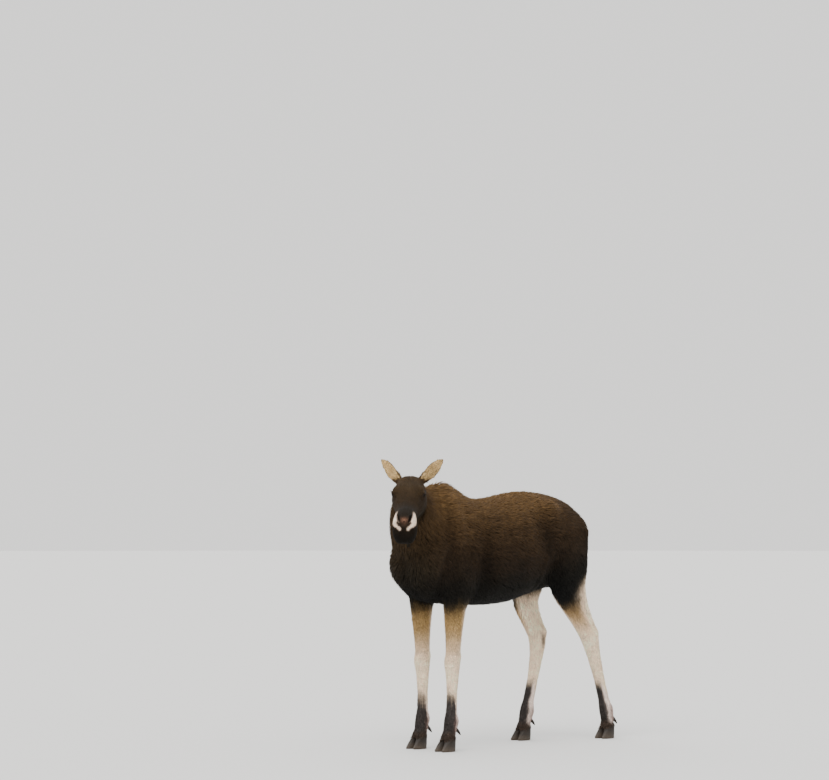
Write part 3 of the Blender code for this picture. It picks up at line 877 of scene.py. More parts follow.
def leg_colour(surface, marks, upper):
    """Pale legs with a dark front to the cannon, under a dark forearm or thigh."""
    points = surface.points
    place = leg_place(surface)
    ragged = 0.020 * soft_noise(points, 0.05, 5) + 0.012 * soft_noise(points, 0.015, 6)
    z = points[:, 2] + ragged
    colour = body_colour(points)
    outer = smoothstep(0.5, -0.1, place.inner)
    rise = np.clip(place.rear + 0.4, 0, 1.35) ** marks.rear_bend
    edge = marks.white_up_to + marks.rear_rise * rise * outer
    edge = edge + marks.inner_rise * smoothstep(0.0, 0.5, place.inner)
    light = smoothstep(edge + 0.045, edge - 0.045, z)
    tan = smoothstep(marks.tan_from - 0.10, marks.tan_from + 0.14, z)
    tan = tan * smoothstep(marks.tan_to + 0.3, marks.tan_to - 0.3, place.rear)
    if marks is HIND_MARKS:
        tan = tan * smoothstep(0.5, -0.1, place.inner)
    colour = mixed(colour, mixed(LEG_WHITE, upper, tan), light)
    if marks is HIND_MARKS:
        where = np.stack((place.inner, z, place.rear), axis=1)
        gland = smoothstep(0.15, 0.75, lump(where, GLAND, GLAND_REACH))
        colour = mixed(colour, TARSAL_DARK, 0.9 * gland)
    slant = 0.08 * smoothstep(-0.6, 0.6, place.rear)
    dark = smoothstep(marks.dark_from + 0.02, marks.dark_from - 0.06, z + slant)
    rear_strip = smoothstep(-0.14, 0.14, place.rear - marks.pale_rear + 4 * ragged)
    colour = mixed(colour, mixed(CANNON_DARK, CANNON_PALE, rear_strip), dark)
    ankle = smoothstep(0.250, 0.205, z) * smoothstep(-0.5, 0.2, place.rear)
    colour = mixed(colour, FETLOCK, 0.65 * ankle)
    return mixed(colour, CORONET, smoothstep(0.145, 0.110, z))


def coat_colours(surface):
    """The markings of every corner, with their painted light and shade, shared by the skin and the
    coat.
    """
    points = surface.points
    ears = mixed(EAR_BACK, EAR_INSIDE, inside_ear(surface))
    # Painted shade deep in each ear's hollow: its middle is darkened back towards EAR_BACK.
    ears = mixed(ears, EAR_BACK, 0.25 * inside_ear(surface, 0.75, 0.98))
    kinds = (
        (("trunk", "neck"), body_colour(points)),
        (("tail",), NECK),
        (("head", "lower_jaw", "eye"), head_colour(points)),
        (("dewlap",), THROAT),
        (("ear",), ears),
        (leg_parts("fore"), leg_colour(surface, FORE_MARKS, LEG_BROWN)),
        (leg_parts("hind"), leg_colour(surface, HIND_MARKS, LEG_TAN)),
    )
    colour = sum(values * surface.is_part(*names)[:, None] for names, values in kinds)
    colour = mixed(colour, EAR_INSIDE, 0.9 * by_ear_opening(surface))
    upper = surface.is_part("thigh", "forearm", "trunk", "neck")
    return mixed(surface.eased(colour, 1), surface.eased(colour, 14), upper)


# ---------------------------------------------------------------- tufts


def coat_lie(surface):
    """Which way the hair runs: back along the body, down the legs and up the face."""
    points = surface.points
    lie = mixed((0.0, 0.75, -0.55), (0.0, 1.0, -0.18), smoothstep(1.35, 1.65, points[:, 2]))
    behind = smoothstep(MARK.withers + 1.05, MARK.withers + 1.35, points[:, 1])
    lie = mixed(lie, (0.0, 0.25, -1.0), behind)
    kinds = (
        (("neck",), (-0.25, 0.60, -0.75)),
        (("thigh", "forearm"), (0.0, 0.30, -0.95)),
        (("shank", "pastern", "hoof", "dewclaw"), (0.0, 0.06, -1.0)),
        (("head", "eye"), from_head(-1.0, 0, 0)),
        (("lower_jaw",), from_head(-0.8, 0, -0.5)),
        (("dewlap", "tail"), (0.0, 0.06, -1.0)),
        (("ear_left",), ear_axis("left")),
        (("ear_right",), ear_axis("right")),
    )
    for names, direction in kinds:
        lie = mixed(lie, direction, surface.is_part(*names))
    place = in_head(points)
    cheek = smoothstep(0.0, 0.1, np.abs(place[:, 1])) * surface.is_part("head")
    lie += np.array(from_head(0, 0, -0.45)) * cheek[:, None]
    under_nose = smoothstep(0.50, 0.60, place[:, 0]) * smoothstep(-0.020, -0.060, place[:, 2])
    under_nose = under_nose * surface.is_part("head", "lower_jaw")
    lie = mixed(lie, from_head(-0.45, 0, -0.9), under_nose)
    lie = surface.eased(lie, LIE_STEPS)
    swirl = np.stack([soft_noise(points, 0.11, 20 + k) for k in range(3)], axis=1)
    lie = unit(lie) + 0.20 * swirl
    lie -= surface.normals * (lie * surface.normals).sum(axis=1)[:, None]
    return unit(lie)


class Field(NamedTuple):
    """What the coat is like at every corner of the skin."""

    lie: np.ndarray
    length: np.ndarray
    width: np.ndarray
    height: np.ndarray
    number: np.ndarray
    colour: np.ndarray


def coat_field(surface, colour):
    points = surface.points
    length = coat_value(surface, "length", 10)
    width = coat_value(surface, "width", 6)
    cover = coat_value(surface, "cover", 1) * (surface.is_part("eye", "hoof", "dewclaw") == 0)
    mane_here = mane(points) * surface.is_part("trunk", "neck")
    legs = low_on_leg(points) * surface.is_part("thigh", "forearm")
    face = on_muzzle(points) * surface.is_part("head", "lower_jaw")
    behind = nape(in_head(points)) * surface.is_part("head", "lower_jaw")
    length = length * (1 + 0.55 * mane_here) * (1 - 0.55 * legs) * (1 - 0.60 * face)
    length = length * (1 + 1.0 * behind)
    by_ears = sum(lump(points, ear_root(name), (0.045, 0.045, 0.045)) for name, _ in SIDES)
    length = length * (1 - 0.55 * by_ears)
    width = width * (1 - 0.40 * legs) * (1 - 0.35 * face) * (1 + 0.6 * behind)
    cover = cover * (1 - 0.25 * legs) * (1 - bare_skin(points))
    height = surface.eased(coat_depth(surface, 8), 8) + 0.008 * behind
    hollow = inside_ear(surface)
    length = length * (1 + 0.7 * hollow)
    height = height * (1 + 1.2 * hollow)
    fetlock = smoothstep(0.26, 0.20, points[:, 2]) * surface.is_part("pastern", "shank")
    length = length * (1 + 0.5 * fetlock)
    height = height + 0.006 * smoothstep(0.150, 0.105, points[:, 2]) * surface.is_part("pastern")
    number = cover / (0.6 * length * width)
    return Field(coat_lie(surface), length, width, height, number, colour)


class Roots(NamedTuple):
    """One row for each tuft: its triangle, place, and what the field says there."""

    triangle: np.ndarray
    place: np.ndarray
    normal: np.ndarray
    lie: np.ndarray
    length: np.ndarray
    width: np.ndarray
    height: np.ndarray
    colour: np.ndarray


def triangle_array(mesh):
    mesh.calc_loop_triangles()
    return read(mesh.loop_triangles, "vertices", 3, np.int32)


def scatter(surface, triangles, field, random):
    """Spreads roots evenly over the skin, closer together where tufts are small."""
    a, b, c = (surface.points[triangles[:, k]] for k in range(3))
    area = np.linalg.norm(np.cross(b - a, c - a), axis=1) / 2
    wanted = area * field.number[triangles].mean(axis=1)
    edges = np.cumsum(wanted)
    count = int(edges[-1])
    marks = (np.arange(count) + random.random(count)) * edges[-1] / count
    chosen = np.minimum(np.searchsorted(edges, marks), len(triangles) - 1)
    u, v = random.random(count), random.random(count)
    over = u + v > 1
    u, v = np.where(over, 1 - u, u), np.where(over, 1 - v, v)
    weights = np.stack((1 - u - v, u, v), axis=1)
    corners = triangles[chosen]

    def at(values):
        if values.ndim == 1:
            return (values[corners] * weights).sum(axis=1)
        return (values[corners] * weights[:, :, None]).sum(axis=1)
    return Roots(
        chosen, at(surface.points), unit(at(surface.normals)), unit(at(field.lie)),
        at(field.length), at(field.width), at(field.height), at(field.colour),
    )


def follow_skin(tree, normals, points):
    """The nearest places on the skin and the skin's directions there."""
    places, faces = [], []
    for point in points.tolist():
        place, _, face, _ = tree.find_nearest(point)
        places.append(place)
        faces.append(face)
    return np.array(places), unit(normals[np.array(faces)])


LONG_TUFT = 0.030
# For each ring of a tuft: share of its length and of its width.
LONG_RINGS = ((0.0, 0.75), (0.33, 1.0), (0.70, 0.72))
SHORT_RINGS = ((0.0, 0.85), (0.50, 0.90))
TUFT_THICKNESS = 0.24
# How much single tufts differ from their neighbours.
LENGTH_SPREAD, TURN_SPREAD, CURL_SPREAD, SHADE_SPREAD = 0.28, 0.22, 1.6, 0.42
ROOT_DEPTH = 0.8 * MM


def tuft_points(roots, rings, skin, random):
    """The corners of all tufts: three round each ring, and a tip."""
    tree, face_normals = skin
    count = len(roots.place)
    length = roots.length * (1 + LENGTH_SPREAD * (random.random(count) * 2 - 1))
    turn = TURN_SPREAD * (random.random(count) * 2 - 1)
    side = np.cross(roots.normal, roots.lie)
    lie = unit(roots.lie + side * turn[:, None])
    side = np.cross(roots.normal, lie)
    half_way, half_normal = follow_skin(tree, face_normals, roots.place + lie * length[:, None] / 2)
    onward = lie - half_normal * (lie * half_normal).sum(axis=1)[:, None]
    end_point = half_way + unit(onward) * length[:, None] / 2
    end, end_normal = follow_skin(tree, face_normals, end_point)
    height = roots.height * (0.72 + 0.36 * random.random(count))
    curl = side * (roots.width * (random.random(count) - 0.5) * CURL_SPREAD)[:, None]
    columns = []
    for share, width_share in rings + ((1.0, 0.0),):
        middle = (
            roots.place * (1 - share) * (1 - 2 * share)
            + half_way * 4 * share * (1 - share)
            + end * share * (2 * share - 1)
        )
        normal = unit(roots.normal * (1 - share) + end_normal * share)
        rise = height * (share ** 0.7) - ROOT_DEPTH * (1 - share)
        middle = middle + normal * rise[:, None] + curl * math.sin(math.pi * share)
        if width_share == 0:
            columns.append(middle)
            continue
        out = side * (roots.width * width_share / 2)[:, None]
        ridge = normal * (roots.width * width_share * TUFT_THICKNESS)[:, None]
        columns += [middle - out, middle + ridge, middle + out]
    return np.stack(columns, axis=1)


def tuft_triangles(ring_count):
    """The triangles of one tuft, closed at the root and pointed at the tip."""
    faces = [(0, 1, 2)]
    for ring in range(ring_count - 1):
        low, high = 3 * ring, 3 * ring + 3
        for k in range(3):
            other = (k + 1) % 3
            faces += [(low + k, high + other, low + other), (low + k, high + k, high + other)]
    last, tip = 3 * ring_count - 3, 3 * ring_count
    faces += [(last + k, tip, last + (k + 1) % 3) for k in range(3)]
    return np.array(faces)


def repeated(faces, count, each):
    """The triangles of many like shapes, each with its own corners."""
    return (faces[None] + (np.arange(count) * each)[:, None, None]).reshape(-1, 3)


def strand_columns(rings):
    """Across and along each tuft's own strands, for the fine hairs drawn on it."""
    rows = []
    for share, _ in rings:
        rows += [(0.0, share), (0.5, share), (1.0, share)]
    return np.array(rows + [(0.5, 1.0)])


def mesh_from_arrays(name, points, triangles):
    mesh = bpy.data.meshes.new(name)
    mesh.vertices.add(len(points))
    mesh.vertices.foreach_set("co", points.astype(np.float32).ravel())
    mesh.loops.add(3 * len(triangles))
    mesh.loops.foreach_set("vertex_index", triangles.astype(np.int32).ravel())
    mesh.polygons.add(len(triangles))
    mesh.polygons.foreach_set("loop_start", np.arange(0, 3 * len(triangles), 3, dtype=np.int32))
    mesh.update(calc_edges=True)
    mesh.shade_smooth()
    return mesh


PATCH = 0.003


def set_attribute(mesh, name, kind, field, values):
    layer = mesh.attributes.new(name, kind, "POINT")
    layer.data.foreach_set(field, values.astype(np.float32).ravel())


def with_alpha(colour):
    return np.concatenate((colour, np.ones((len(colour), 1))), axis=1)


# Painted shade between tufts: each tuft is darkened towards its root and lightened at its tip, far
# less on pale hair.
PALE_ROOT_SHADE = 0.97


def tuft_piece(name, roots, unwrapped, rings, skin, random):
    """One piece of coat made of many closed tufts."""
    corners = tuft_points(roots, rings, skin, random)
    count, each = corners.shape[:2]
    triangles = repeated(tuft_triangles(len(rings)), count, each)
    mesh = mesh_from_arrays(name, corners.reshape(-1, 3), triangles)
    strand = strand_columns(rings)
    seed = random.random(count)
    shade = 1 + SHADE_SPREAD * (random.random(count) - 0.5)
    shade = shade + 0.16 * soft_noise(roots.place, 0.035, 31)
    along = np.tile(strand[:, 1], count)
    colour = np.repeat(roots.colour * shade[:, None], each, axis=0)
    root_shade = np.interp(roots.length, (0.02, 0.05), (0.84, 0.62))
    pale = smoothstep(0.15, 0.55, roots.colour.mean(axis=1))
    root_shade = np.repeat(root_shade + (PALE_ROOT_SHADE - root_shade) * pale, each)
    # Painted shade at each tuft's root, rising to a lighter tip.
    colour = colour * (root_shade + (1.12 - root_shade) * along ** 0.8)[:, None]
    set_attribute(mesh, "coat", "FLOAT_COLOR", "color", with_alpha(np.clip(colour, 0, 1)))
    lines = np.stack((np.tile(strand[:, 0], count), along, np.repeat(seed, each)), axis=1)
    set_attribute(mesh, "strand", "FLOAT_VECTOR", "vector", lines)
    patch = np.tile((strand - 0.5) * PATCH, (count, 1)) + np.repeat(unwrapped, each, axis=0)
    layer = mesh.uv_layers.new(name="OFBake")
    layer.uv.foreach_set("vector", patch[triangles.ravel()].astype(np.float32).ravel())
    return new_object(name, mesh)


class Region(NamedTuple):
    """A stretch of coat, the solids it grows over, and the axis it is unwrapped round."""

    name: str
    nodes: tuple
    axis: tuple


def regions():
    along_head = tuple(MARK.forward)
    found = [
        Region("coat_trunk", ("trunk",), (0, 1, 0)),
        Region("coat_neck", ("neck",), (-0.25, 0.85, -0.1)),
        Region("coat_face", ("head",), along_head),
        Region("coat_jaw", ("lower_jaw",), along_head),
        Region("coat_bell", ("dewlap",), (0, 0, 1)),
        Region("coat_tail", ("tail",), (0, 0, 1)),
    ]
    for name, _ in SIDES:
        found.append(Region("coat_ear_" + name, ("ear_" + name,), tuple(ear_axis(name))))
    for leg in LEG_NAMES:
        upper = ("forearm_" if leg.startswith("fore") else "thigh_") + leg
        found.append(Region("coat_upper_" + leg, (upper,), (0, 0, 1)))
        found.append(Region("coat_lower_" + leg, ("shank_" + leg, "pastern_" + leg), (0, 0, 1)))
    return found


def unwrap(points, axis):
    """Each place by its angle round the region's axis and its share along it."""
    axis = unit(np.array(axis, float)[None])[0]
    middle = (points.min(axis=0) + points.max(axis=0)) / 2
    offset = points - middle
    along = offset @ axis
    across = np.cross(axis, (0, 0, 1) if abs(axis[2]) < 0.9 else (1, 0, 0))
    across = across / np.linalg.norm(across)
    angle = np.arctan2(offset @ np.cross(axis, across), offset @ across)
    share = (along - along.min()) / max(np.ptp(along), 1e-6)
    return np.stack((angle / (2 * math.pi) + 0.5, share), axis=1) * 0.99 + 0.005


MOST_TRIANGLES = 190_000


def grow_coat(skin_object, surface, colour):
    """All pieces of coat, each split to stay under MOST_TRIANGLES triangles."""
    random = np.random.default_rng(SEED)
    triangles = triangle_array(skin_object.data)
    field = coat_field(surface, colour)
    roots = scatter(surface, triangles, field, random)
    tree = BVHTree.FromPolygons(surface.points.tolist(), triangles.tolist())
    normals = surface.normals[triangles].sum(axis=1)
    owner = surface.parts[triangles[roots.triangle, 0]]
    pieces = []
    for region in regions():
        wanted = [k for k, node in enumerate(NODE_NAMES) if node in region.nodes]
        own = np.flatnonzero(np.isin(owner, wanted))
        unwrapped = unwrap(roots.place[own], region.axis)
        order = np.argsort(unwrapped[:, 1], kind="stable")
        own, unwrapped = own[order], unwrapped[order]
        is_long = roots.length[own].mean() > LONG_TUFT
        rings = LONG_RINGS if is_long else SHORT_RINGS
        each = len(tuft_triangles(len(rings)))
        parts = math.ceil(len(own) * each / MOST_TRIANGLES)
        for number, share in enumerate(np.array_split(np.arange(len(own)), parts)):
            name = region.name if parts == 1 else f"{region.name}_{number + 1}"
            picked = Roots(*(values[own[share]] for values in roots))
            piece = tuft_piece(name, picked, unwrapped[share], rings, (tree, normals), random)
            pieces.append(piece)
    return pieces


# ---------------------------------------------------------------- materials


def add(tree, kind, settings=(), links=()):
    """Adds a node with its settings, and links from (socket name or number, source)."""
    node = tree.nodes.new("ShaderNode" + kind)
    for key, value in dict(settings).items():
        if isinstance(key, str) and hasattr(node, key):
            setattr(node, key, value)
        else:
            node.inputs[key].default_value = value
    for key, source in dict(links).items():
        tree.links.new(source, node.inputs[key])
    return node


def attribute(tree, name, socket):
    return add(tree, "Attribute", {"attribute_name": name}).outputs[socket]


def stepped(tree, value, low, high, to_low, to_high):
    """A value stretched from one range to another, and held at its ends."""
    return add(tree, "MapRange", {
        "From Min": low, "From Max": high, "To Min": to_low, "To Max": to_high,
    }, {"Value": value}).outputs[0]


def noise(tree, vector, scale, detail):
    settings = {"Scale": scale, "Detail": detail}
    return add(tree, "TexNoise", settings, {"Vector": vector}).outputs["Fac"]


def two_tone(tree, share, low, high):
    """Blends from the low colour, a hex value or a socket, to the high one."""
    settings, links = {"data_type": "RGBA", 7: (*linear(high), 1)}, {0: share}
    if isinstance(low, str):
        settings[6] = (*linear(low), 1)
    else:
        links[6] = low
    return add(tree, "Mix", settings, links).outputs[2]


def streaked_coat(tree, tone):
    """The coat's own marking, lighter and darker by the tone."""
    return add(tree, "VectorMath", {"operation": "SCALE"}, {
        "Vector": attribute(tree, "coat", "Color"), "Scale": tone}).outputs[0]


def bump(tree, height, strength, distance):
    return add(tree, "Bump", {"Strength": strength, "Distance": distance},
               {"Height": height}).outputs[0]


def material_of(name, build):
    """A material whose shader takes what build(tree) gives, by the shader's own socket names."""
    material = bpy.data.materials.new(name)
    material.use_nodes = True
    tree = material.node_tree
    inputs = tree.nodes["Principled BSDF"].inputs
    for socket, value in build(tree).items():
        if isinstance(value, bpy.types.NodeSocket):
            tree.links.new(value, inputs[socket])
        else:
            inputs[socket].default_value = value
    return material


# Sizes of patterns, as how many repeats there are in a length.
SPAN = 100 * MM
# Streaks across a tuft, along it, and from tuft to tuft. A streak is about 1 mm wide. Real guard
# hairs, near 0.3 mm, are too fine to show.
STREAKS = (8.0, 1.3, 60.0)
# Short hair 2 mm apart. Real hairs are finer, and too fine to show.
SHORT_HAIRS = 52 / SPAN
GROWTH_RINGS = (0.6 / SPAN, 0.6 / SPAN, 15 / SPAN)
SCUFFS = 9 / SPAN
CARD_GRAIN = 3 / SPAN
WORN_UP_TO = 50 * MM


def guard_hair(tree):
    """Coarse hollow winter hair: dull and dry, each tuft streaked by single hairs."""
    strand = attribute(tree, "strand", "Vector")
    placed = add(tree, "Mapping", {"Scale": STREAKS}, {"Vector": strand}).outputs[0]
    hairs = noise(tree, placed, 1.0, 2.0)
    return {
        "Base Color": streaked_coat(tree, stepped(tree, hairs, 0.34, 0.66, 0.50, 1.50)),
        "Normal": bump(tree, hairs, 0.7, 1.2 * MM),
        "Roughness": 0.70,
        "Specular IOR Level": 0.09,
    }


def short_hide(tree):
    """Hide under short hair that lies flat, bare and moist at nostrils, lips and lids."""
    hairs = noise(tree, attribute(tree, "nap", "Vector"), SHORT_HAIRS, 2.0)
    return {
        "Base Color": streaked_coat(tree, stepped(tree, hairs, 0.3, 0.7, 0.74, 1.18)),
        "Normal": bump(tree, hairs, 0.55, 1.2 * MM),
        "Roughness": stepped(tree, attribute(tree, "bare", "Fac"), 0.0, 1.0, 0.72, 0.40),
        "Specular IOR Level": 0.12,
    }


def hoof_horn(tree):
    """Keratin worn dull on the ground, ringed by growth and scuffed towards the sole."""
    place = add(tree, "TexCoord").outputs["Object"]
    squashed = add(tree, "Mapping", {"Scale": GROWTH_RINGS}, {"Vector": place}).outputs[0]
    rings = noise(tree, squashed, 1.0, 3.0)
    height = add(tree, "SeparateXYZ", {}, {"Vector": place}).outputs["Z"]
    worn = stepped(tree, height, WORN_UP_TO, 0.0, 0.0, 1.0)
    wear = add(tree, "Math", {"operation": "MULTIPLY"},
               {0: worn, 1: noise(tree, place, SCUFFS, 5.0)}).outputs[0]
    return {
        "Base Color": two_tone(tree, wear, two_tone(tree, rings, "14110f", "2e2721"), "594e43"),
        "Normal": bump(tree, rings, 0.6, 1.0 * MM),
        "Roughness": 0.58,
        "Specular IOR Level": 0.25,
    }


def wet_eye(tree):
    """A dark brown iris round a level pupil, under a clear wet cornea."""
    rings = add(tree, "SeparateXYZ", {}, {"Vector": attribute(tree, "iris", "Vector")})
    pupil = stepped(tree, rings.outputs["X"], 0.9, 1.1, 0.0, 1.0)
    edge = stepped(tree, rings.outputs["Y"], 0.95, 1.1, 0.0, 1.0)
    return {
        "Base Color": two_tone(tree, edge, two_tone(tree, pupil, "040303", "20140c"), "1b130f"),
        "Roughness": 0.08,
        "IOR": 1.376,
        "Specular IOR Level": 0.10,
    }


def matt_card(tree):
    """Off-white card that lets the pale legs and the dark hooves both show."""
    place = add(tree, "TexCoord").outputs["Object"]
    grain = add(tree, "TexNoise", {"Scale": CARD_GRAIN}, {"Vector": place}).outputs["Fac"]
    return {"Base Color": two_tone(tree, grain, "c7c7c6", "cdcdcc"), "Roughness": 0.9}


# ---------------------------------------------------------------- dressing the pieces


def finish_piece(piece, material, replaced=()):
    piece.data.materials.clear()
    piece.data.materials.append(material)
    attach(piece, "root")
    if replaced:
        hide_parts(*replaced)


def nap_places(surface):
    """Places squeezed along the lie of the short hair, so that patterns run with it."""
    points = surface.points
    nap = points * (1.0, 1.0, 0.14)
    on_face = in_head(points) * (0.14, 1.0, 1.0)
    return mixed(nap, on_face, surface.is_part("head", "lower_jaw", "ear", "eye"))


def mark_hide(mesh, colour, nap, bare):
    """Stores what the hide's material reads at every corner."""
    set_attribute(mesh, "coat", "FLOAT_COLOR", "color", with_alpha(colour))
    set_attribute(mesh, "nap", "FLOAT_VECTOR", "vector", nap)
    set_attribute(mesh, "bare", "FLOAT", "value", bare)


def dress_skin(body, surface, colour, material):
    mark_hide(body.data, colour, nap_places(surface), bare_skin(surface.points))
    finish_piece(body, material, FLESH)


CLAW_NARROWING = 0.5
FLAT, CREASED = math.radians(1), math.radians(50)


def tapered(corners):
    """A dewclaw drawn in towards its lower end."""
    points = np.array(corners)
    middle = points.mean(axis=0)
    axis = np.linalg.svd(points - middle)[2][0]
    axis = -axis if axis[2] > 0 else axis
    along = (points - middle) @ axis
    share = (along - along.min()) / np.ptp(along)
    aside = points - middle - along[:, None] * axis
    return points - aside * (CLAW_NARROWING * share ** 2)[:, None]


def smooth_horn(name, material):
    """A hoof or dewclaw with its facets rounded and its sole left flat."""
    corners, faces = node_geometry(name)
    if name.startswith("dewclaw"):
        corners = tapered(corners)
    mesh = bpy.data.meshes.new(name)
    mesh.from_pydata(corners, [], faces)
    shape = bmesh.new()
    shape.from_mesh(mesh)
    flat = [edge for edge in shape.edges if edge.calc_face_angle(0) < FLAT]
    bmesh.ops.dissolve_edges(shape, edges=flat, use_verts=False)
    crease = shape.edges.layers.float.new("crease_edge")
    for edge in shape.edges:
        edge[crease] = 0.85 if edge.calc_face_angle(0) > CREASED else 0.0
    shape.to_mesh(mesh)
    shape.free()
    horn = new_object("horn_" + name, mesh)
    modify(horn, "SUBSURF", levels=2, render_levels=2)
    horn.data.shade_smooth()
    horn.data.set_sharp_from_angle(angle=math.radians(40))
    finish_piece(horn, material, [name])


PUPIL = (0.0065, 0.0035)
IRIS = 0.0125


def eyeball(name, side, material):
    """A ball with a cornea that stands a little proud, and the pupil's long axis level."""
    centre, out, along, up = eye_frame(name, side)
    shape = bmesh.new()
    bmesh.ops.create_icosphere(shape, subdivisions=5, radius=1.0)
    places = np.array([vert.co for vert in shape.verts])
    front = places[:, 2]
    bulge = 1 + 0.07 * smoothstep(0.70, 1.0, front)
    local = places * EYE_RADIUS * bulge[:, None]
    axes = np.array((along, up, out))
    world = centre + local @ axes
    for vert, place in zip(shape.verts, world):
        vert.co = place
    bmesh.ops.recalc_face_normals(shape, faces=shape.faces)
    mesh = bpy.data.meshes.new("eyeball_" + name)
    shape.to_mesh(mesh)
    shape.free()
    s, t = local[:, 0], local[:, 1]
    behind = np.where(front < 0, 9.0, 0.0)
    pupil = np.hypot(s / PUPIL[0], t / PUPIL[1]) + behind
    iris = np.hypot(s, t) / IRIS + behind
    set_attribute(mesh, "iris", "FLOAT_VECTOR", "vector", np.stack((pupil, iris, iris * 0), axis=1))
    mesh.shade_smooth()
    finish_piece(new_object("eyeball_" + name, mesh), material, ["eye_" + name])


LID_RINGS, LID_ROUND = 60, 10
LASHES, LASH_LENGTH, LASH_WIDTH = 26, 14 * MM, 0.55 * MM


def lid_line(name, side, angles):
    """Places along the edge of the lids, and which way the ball faces there."""
    centre, out, along, up = eye_frame(name, side)
    s = LID_REACH[0] * np.cos(angles)
    t = LID_REACH[1] * np.sin(angles) * np.abs(np.sin(angles)) ** 0.2
    radius = EYE_RADIUS + 0.9 * MM
    depth = np.sqrt(radius ** 2 - s ** 2 - t ** 2)
    facing = unit(s[:, None] * along + t[:, None] * up + depth[:, None] * out)
    return centre + facing * radius, facing


def eyelids(name, side, material):
    """The bare rolled edges of both lids, thicker above, with lashes on the upper one."""
    angles = np.linspace(0, 2 * math.pi, LID_RINGS, endpoint=False)
    line, facing = lid_line(name, side, angles)
    ahead = unit(np.roll(line, -1, axis=0) - np.roll(line, 1, axis=0))
    aside = np.cross(facing, ahead)
    thick = (1.7 + 0.8 * np.clip(np.sin(angles), 0, 1))[:, None] * MM
    turn = np.linspace(0, 2 * math.pi, LID_ROUND, endpoint=False)
    points = np.concatenate([
        line + thick * (math.cos(a) * aside * 1.25 + math.sin(a) * facing) for a in turn
    ])
    rings = np.arange(LID_RINGS)
    following = (rings + 1) % LID_RINGS
    faces = []
    for k in range(LID_ROUND):
        low, high = k * LID_RINGS, (k + 1) % LID_ROUND * LID_RINGS
        faces.append(np.stack((low + rings, low + following, high + following), axis=1))
        faces.append(np.stack((low + rings, high + following, high + rings), axis=1))
    faces = np.concatenate(faces)
    lashes, lash_faces = eyelashes(name, side)
    faces = np.concatenate((faces, lash_faces + len(points)))
    points = np.concatenate((points, lashes))
    mesh = mesh_from_arrays("eyelids_" + name, points, outward(points, faces))
    mark_hide(mesh, np.tile(BARE_DARK, (len(points), 1)), points, np.ones(len(points)))
    finish_piece(new_object("eyelids_" + name, mesh), material)


def outward(points, faces):
    """The faces turned to point outwards, going by the volume they close in."""
    a, b, c = (points[faces[:, k]] for k in range(3))
    return faces if (a * np.cross(b, c)).sum() > 0 else faces[:, ::-1]


def eyelashes(name, side):
    random = np.random.default_rng(SEED)
    angles = np.linspace(math.radians(20), math.radians(160), LASHES)
    root, facing = lid_line(name, side, angles)
    _, out, along, up = eye_frame(name, side)
    aim = unit(out + 0.9 * up + 0.5 * np.cos(angles)[:, None] * along)
    length = LASH_LENGTH * (0.7 + 0.5 * random.random(LASHES))[:, None]
    across = unit(np.cross(aim, up))
    over = np.cross(aim, across)
    root = root + facing * 1.2 * MM
    middle = root + aim * length * 0.5 - np.array((0, 0, 1.0)) * length * 0.10
    rows = []
    for place, scale in ((root, 1.0), (middle, 0.8)):
        rows += [place - across * LASH_WIDTH * scale, place + over * LASH_WIDTH * scale,
                 place + across * LASH_WIDTH * scale]
    points = np.stack(rows + [root + aim * length], axis=1)
    faces = repeated(tuft_triangles(2), LASHES, points.shape[1])
    points = points.reshape(-1, 3)
    return points, outward(points, faces)


# ---------------------------------------------------------------- studio


CAMERA_DISTANCE = 19.75
CAMERA_HEIGHT = 1.6
CAMERA_ASIDE = 0.609
CAMERA_TURN = math.radians(45)
CAMERA_TILT = math.atan(118 / 2900)    # up, as rise over run
CAMERA_LENS, SENSOR = 125.93, 36.0
FEET_FROM_WITHERS = 0.630
FLOOR_RADIUS = 90


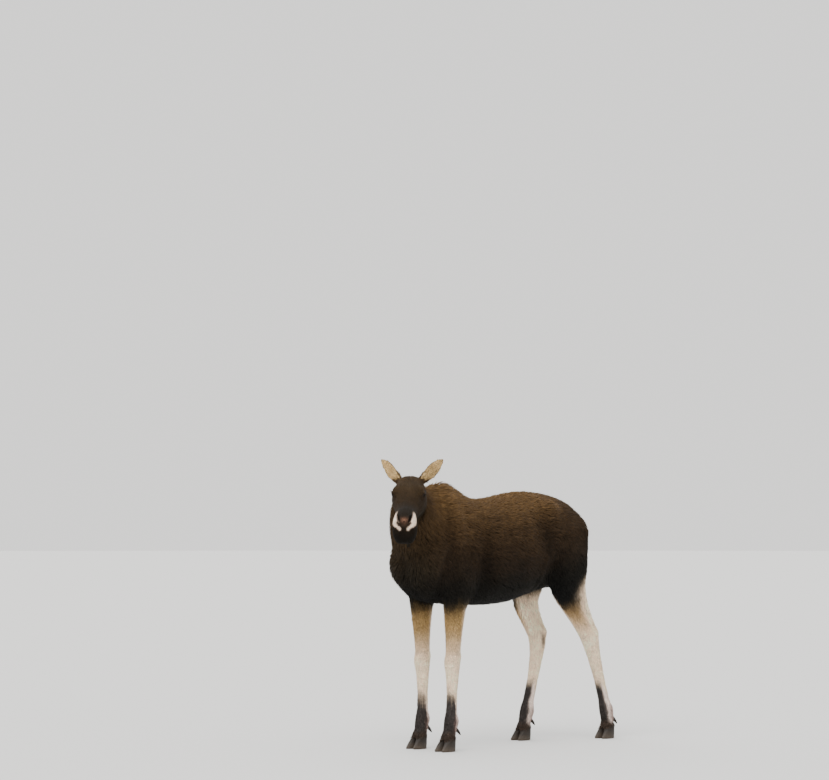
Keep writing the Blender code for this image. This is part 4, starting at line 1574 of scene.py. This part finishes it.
def add_camera():
    """A long lens from the animal's left front, level with its withers."""
    ahead = Vector((-math.sin(CAMERA_TURN), math.cos(CAMERA_TURN), 0))
    right = Vector((math.cos(CAMERA_TURN), math.sin(CAMERA_TURN), 0))
    feet = Vector((MARK.middle, MARK.withers + FEET_FROM_WITHERS, 0))
    camera = bpy.data.cameras.new("camera")
    camera.lens = CAMERA_LENS
    camera.sensor_width = SENSOR
    camera.sensor_fit = "HORIZONTAL"
    camera.clip_end = 300
    stand = new_object("camera", camera)
    stand.location = feet - right * CAMERA_ASIDE - ahead * CAMERA_DISTANCE
    stand.location.z = CAMERA_HEIGHT
    look = ahead * math.cos(CAMERA_TILT) + Vector((0, 0, math.sin(CAMERA_TILT)))
    stand.rotation_euler = look.to_track_quat("-Z", "Y").to_euler()
    bpy.context.scene.camera = stand


def add_floor():
    shape = bmesh.new()
    bmesh.ops.create_circle(shape, cap_ends=True, segments=96, radius=FLOOR_RADIUS)
    mesh = bpy.data.meshes.new("floor")
    shape.to_mesh(mesh)
    shape.free()
    mesh.materials.append(material_of("matt card", matt_card))
    new_object("floor", mesh)


def add_sun(name, toward, width, strength, colour):
    """A broad soft light from far away, so that the floor is lit evenly."""
    lamp = bpy.data.lights.new(name, "SUN")
    lamp.angle = math.radians(width)
    lamp.energy = strength
    lamp.color = colour
    new_object(name, lamp).rotation_euler = Vector(toward).to_track_quat("-Z", "Y").to_euler()


def add_lights():
    add_sun("key", (-0.45, 0.75, -1.0), 50, 3.9, (1.0, 0.98, 0.95))
    add_sun("back", (0.7, -0.5, -1.1), 70, 1.2, (0.97, 0.98, 1.0))
    world = bpy.data.worlds.new("studio")
    world.use_nodes = True
    background = world.node_tree.nodes["Background"]
    background.inputs["Color"].default_value = (*linear("eeedeb"), 1)
    background.inputs["Strength"].default_value = 1.55
    bpy.context.scene.world = world


# ---------------------------------------------------------------- the whole scene

skin, skin_surface = grow_skin()
marks_and_painted_light = coat_colours(skin_surface)
hide = material_of("short haired hide", short_hide)
dress_skin(skin, skin_surface, marks_and_painted_light, hide)
hair = material_of("winter guard hair", guard_hair)
for coat_piece in grow_coat(skin, skin_surface, marks_and_painted_light):
    finish_piece(coat_piece, hair)
horn_material = material_of("hoof horn", hoof_horn)
for horn_name in HORN:
    smooth_horn(horn_name, horn_material)
eye_material = material_of("wet eye", wet_eye)
for side_name, side_sign in SIDES:
    eyeball(side_name, side_sign, eye_material)
    eyelids(side_name, side_sign, hide)
add_floor()
add_lights()
add_camera()
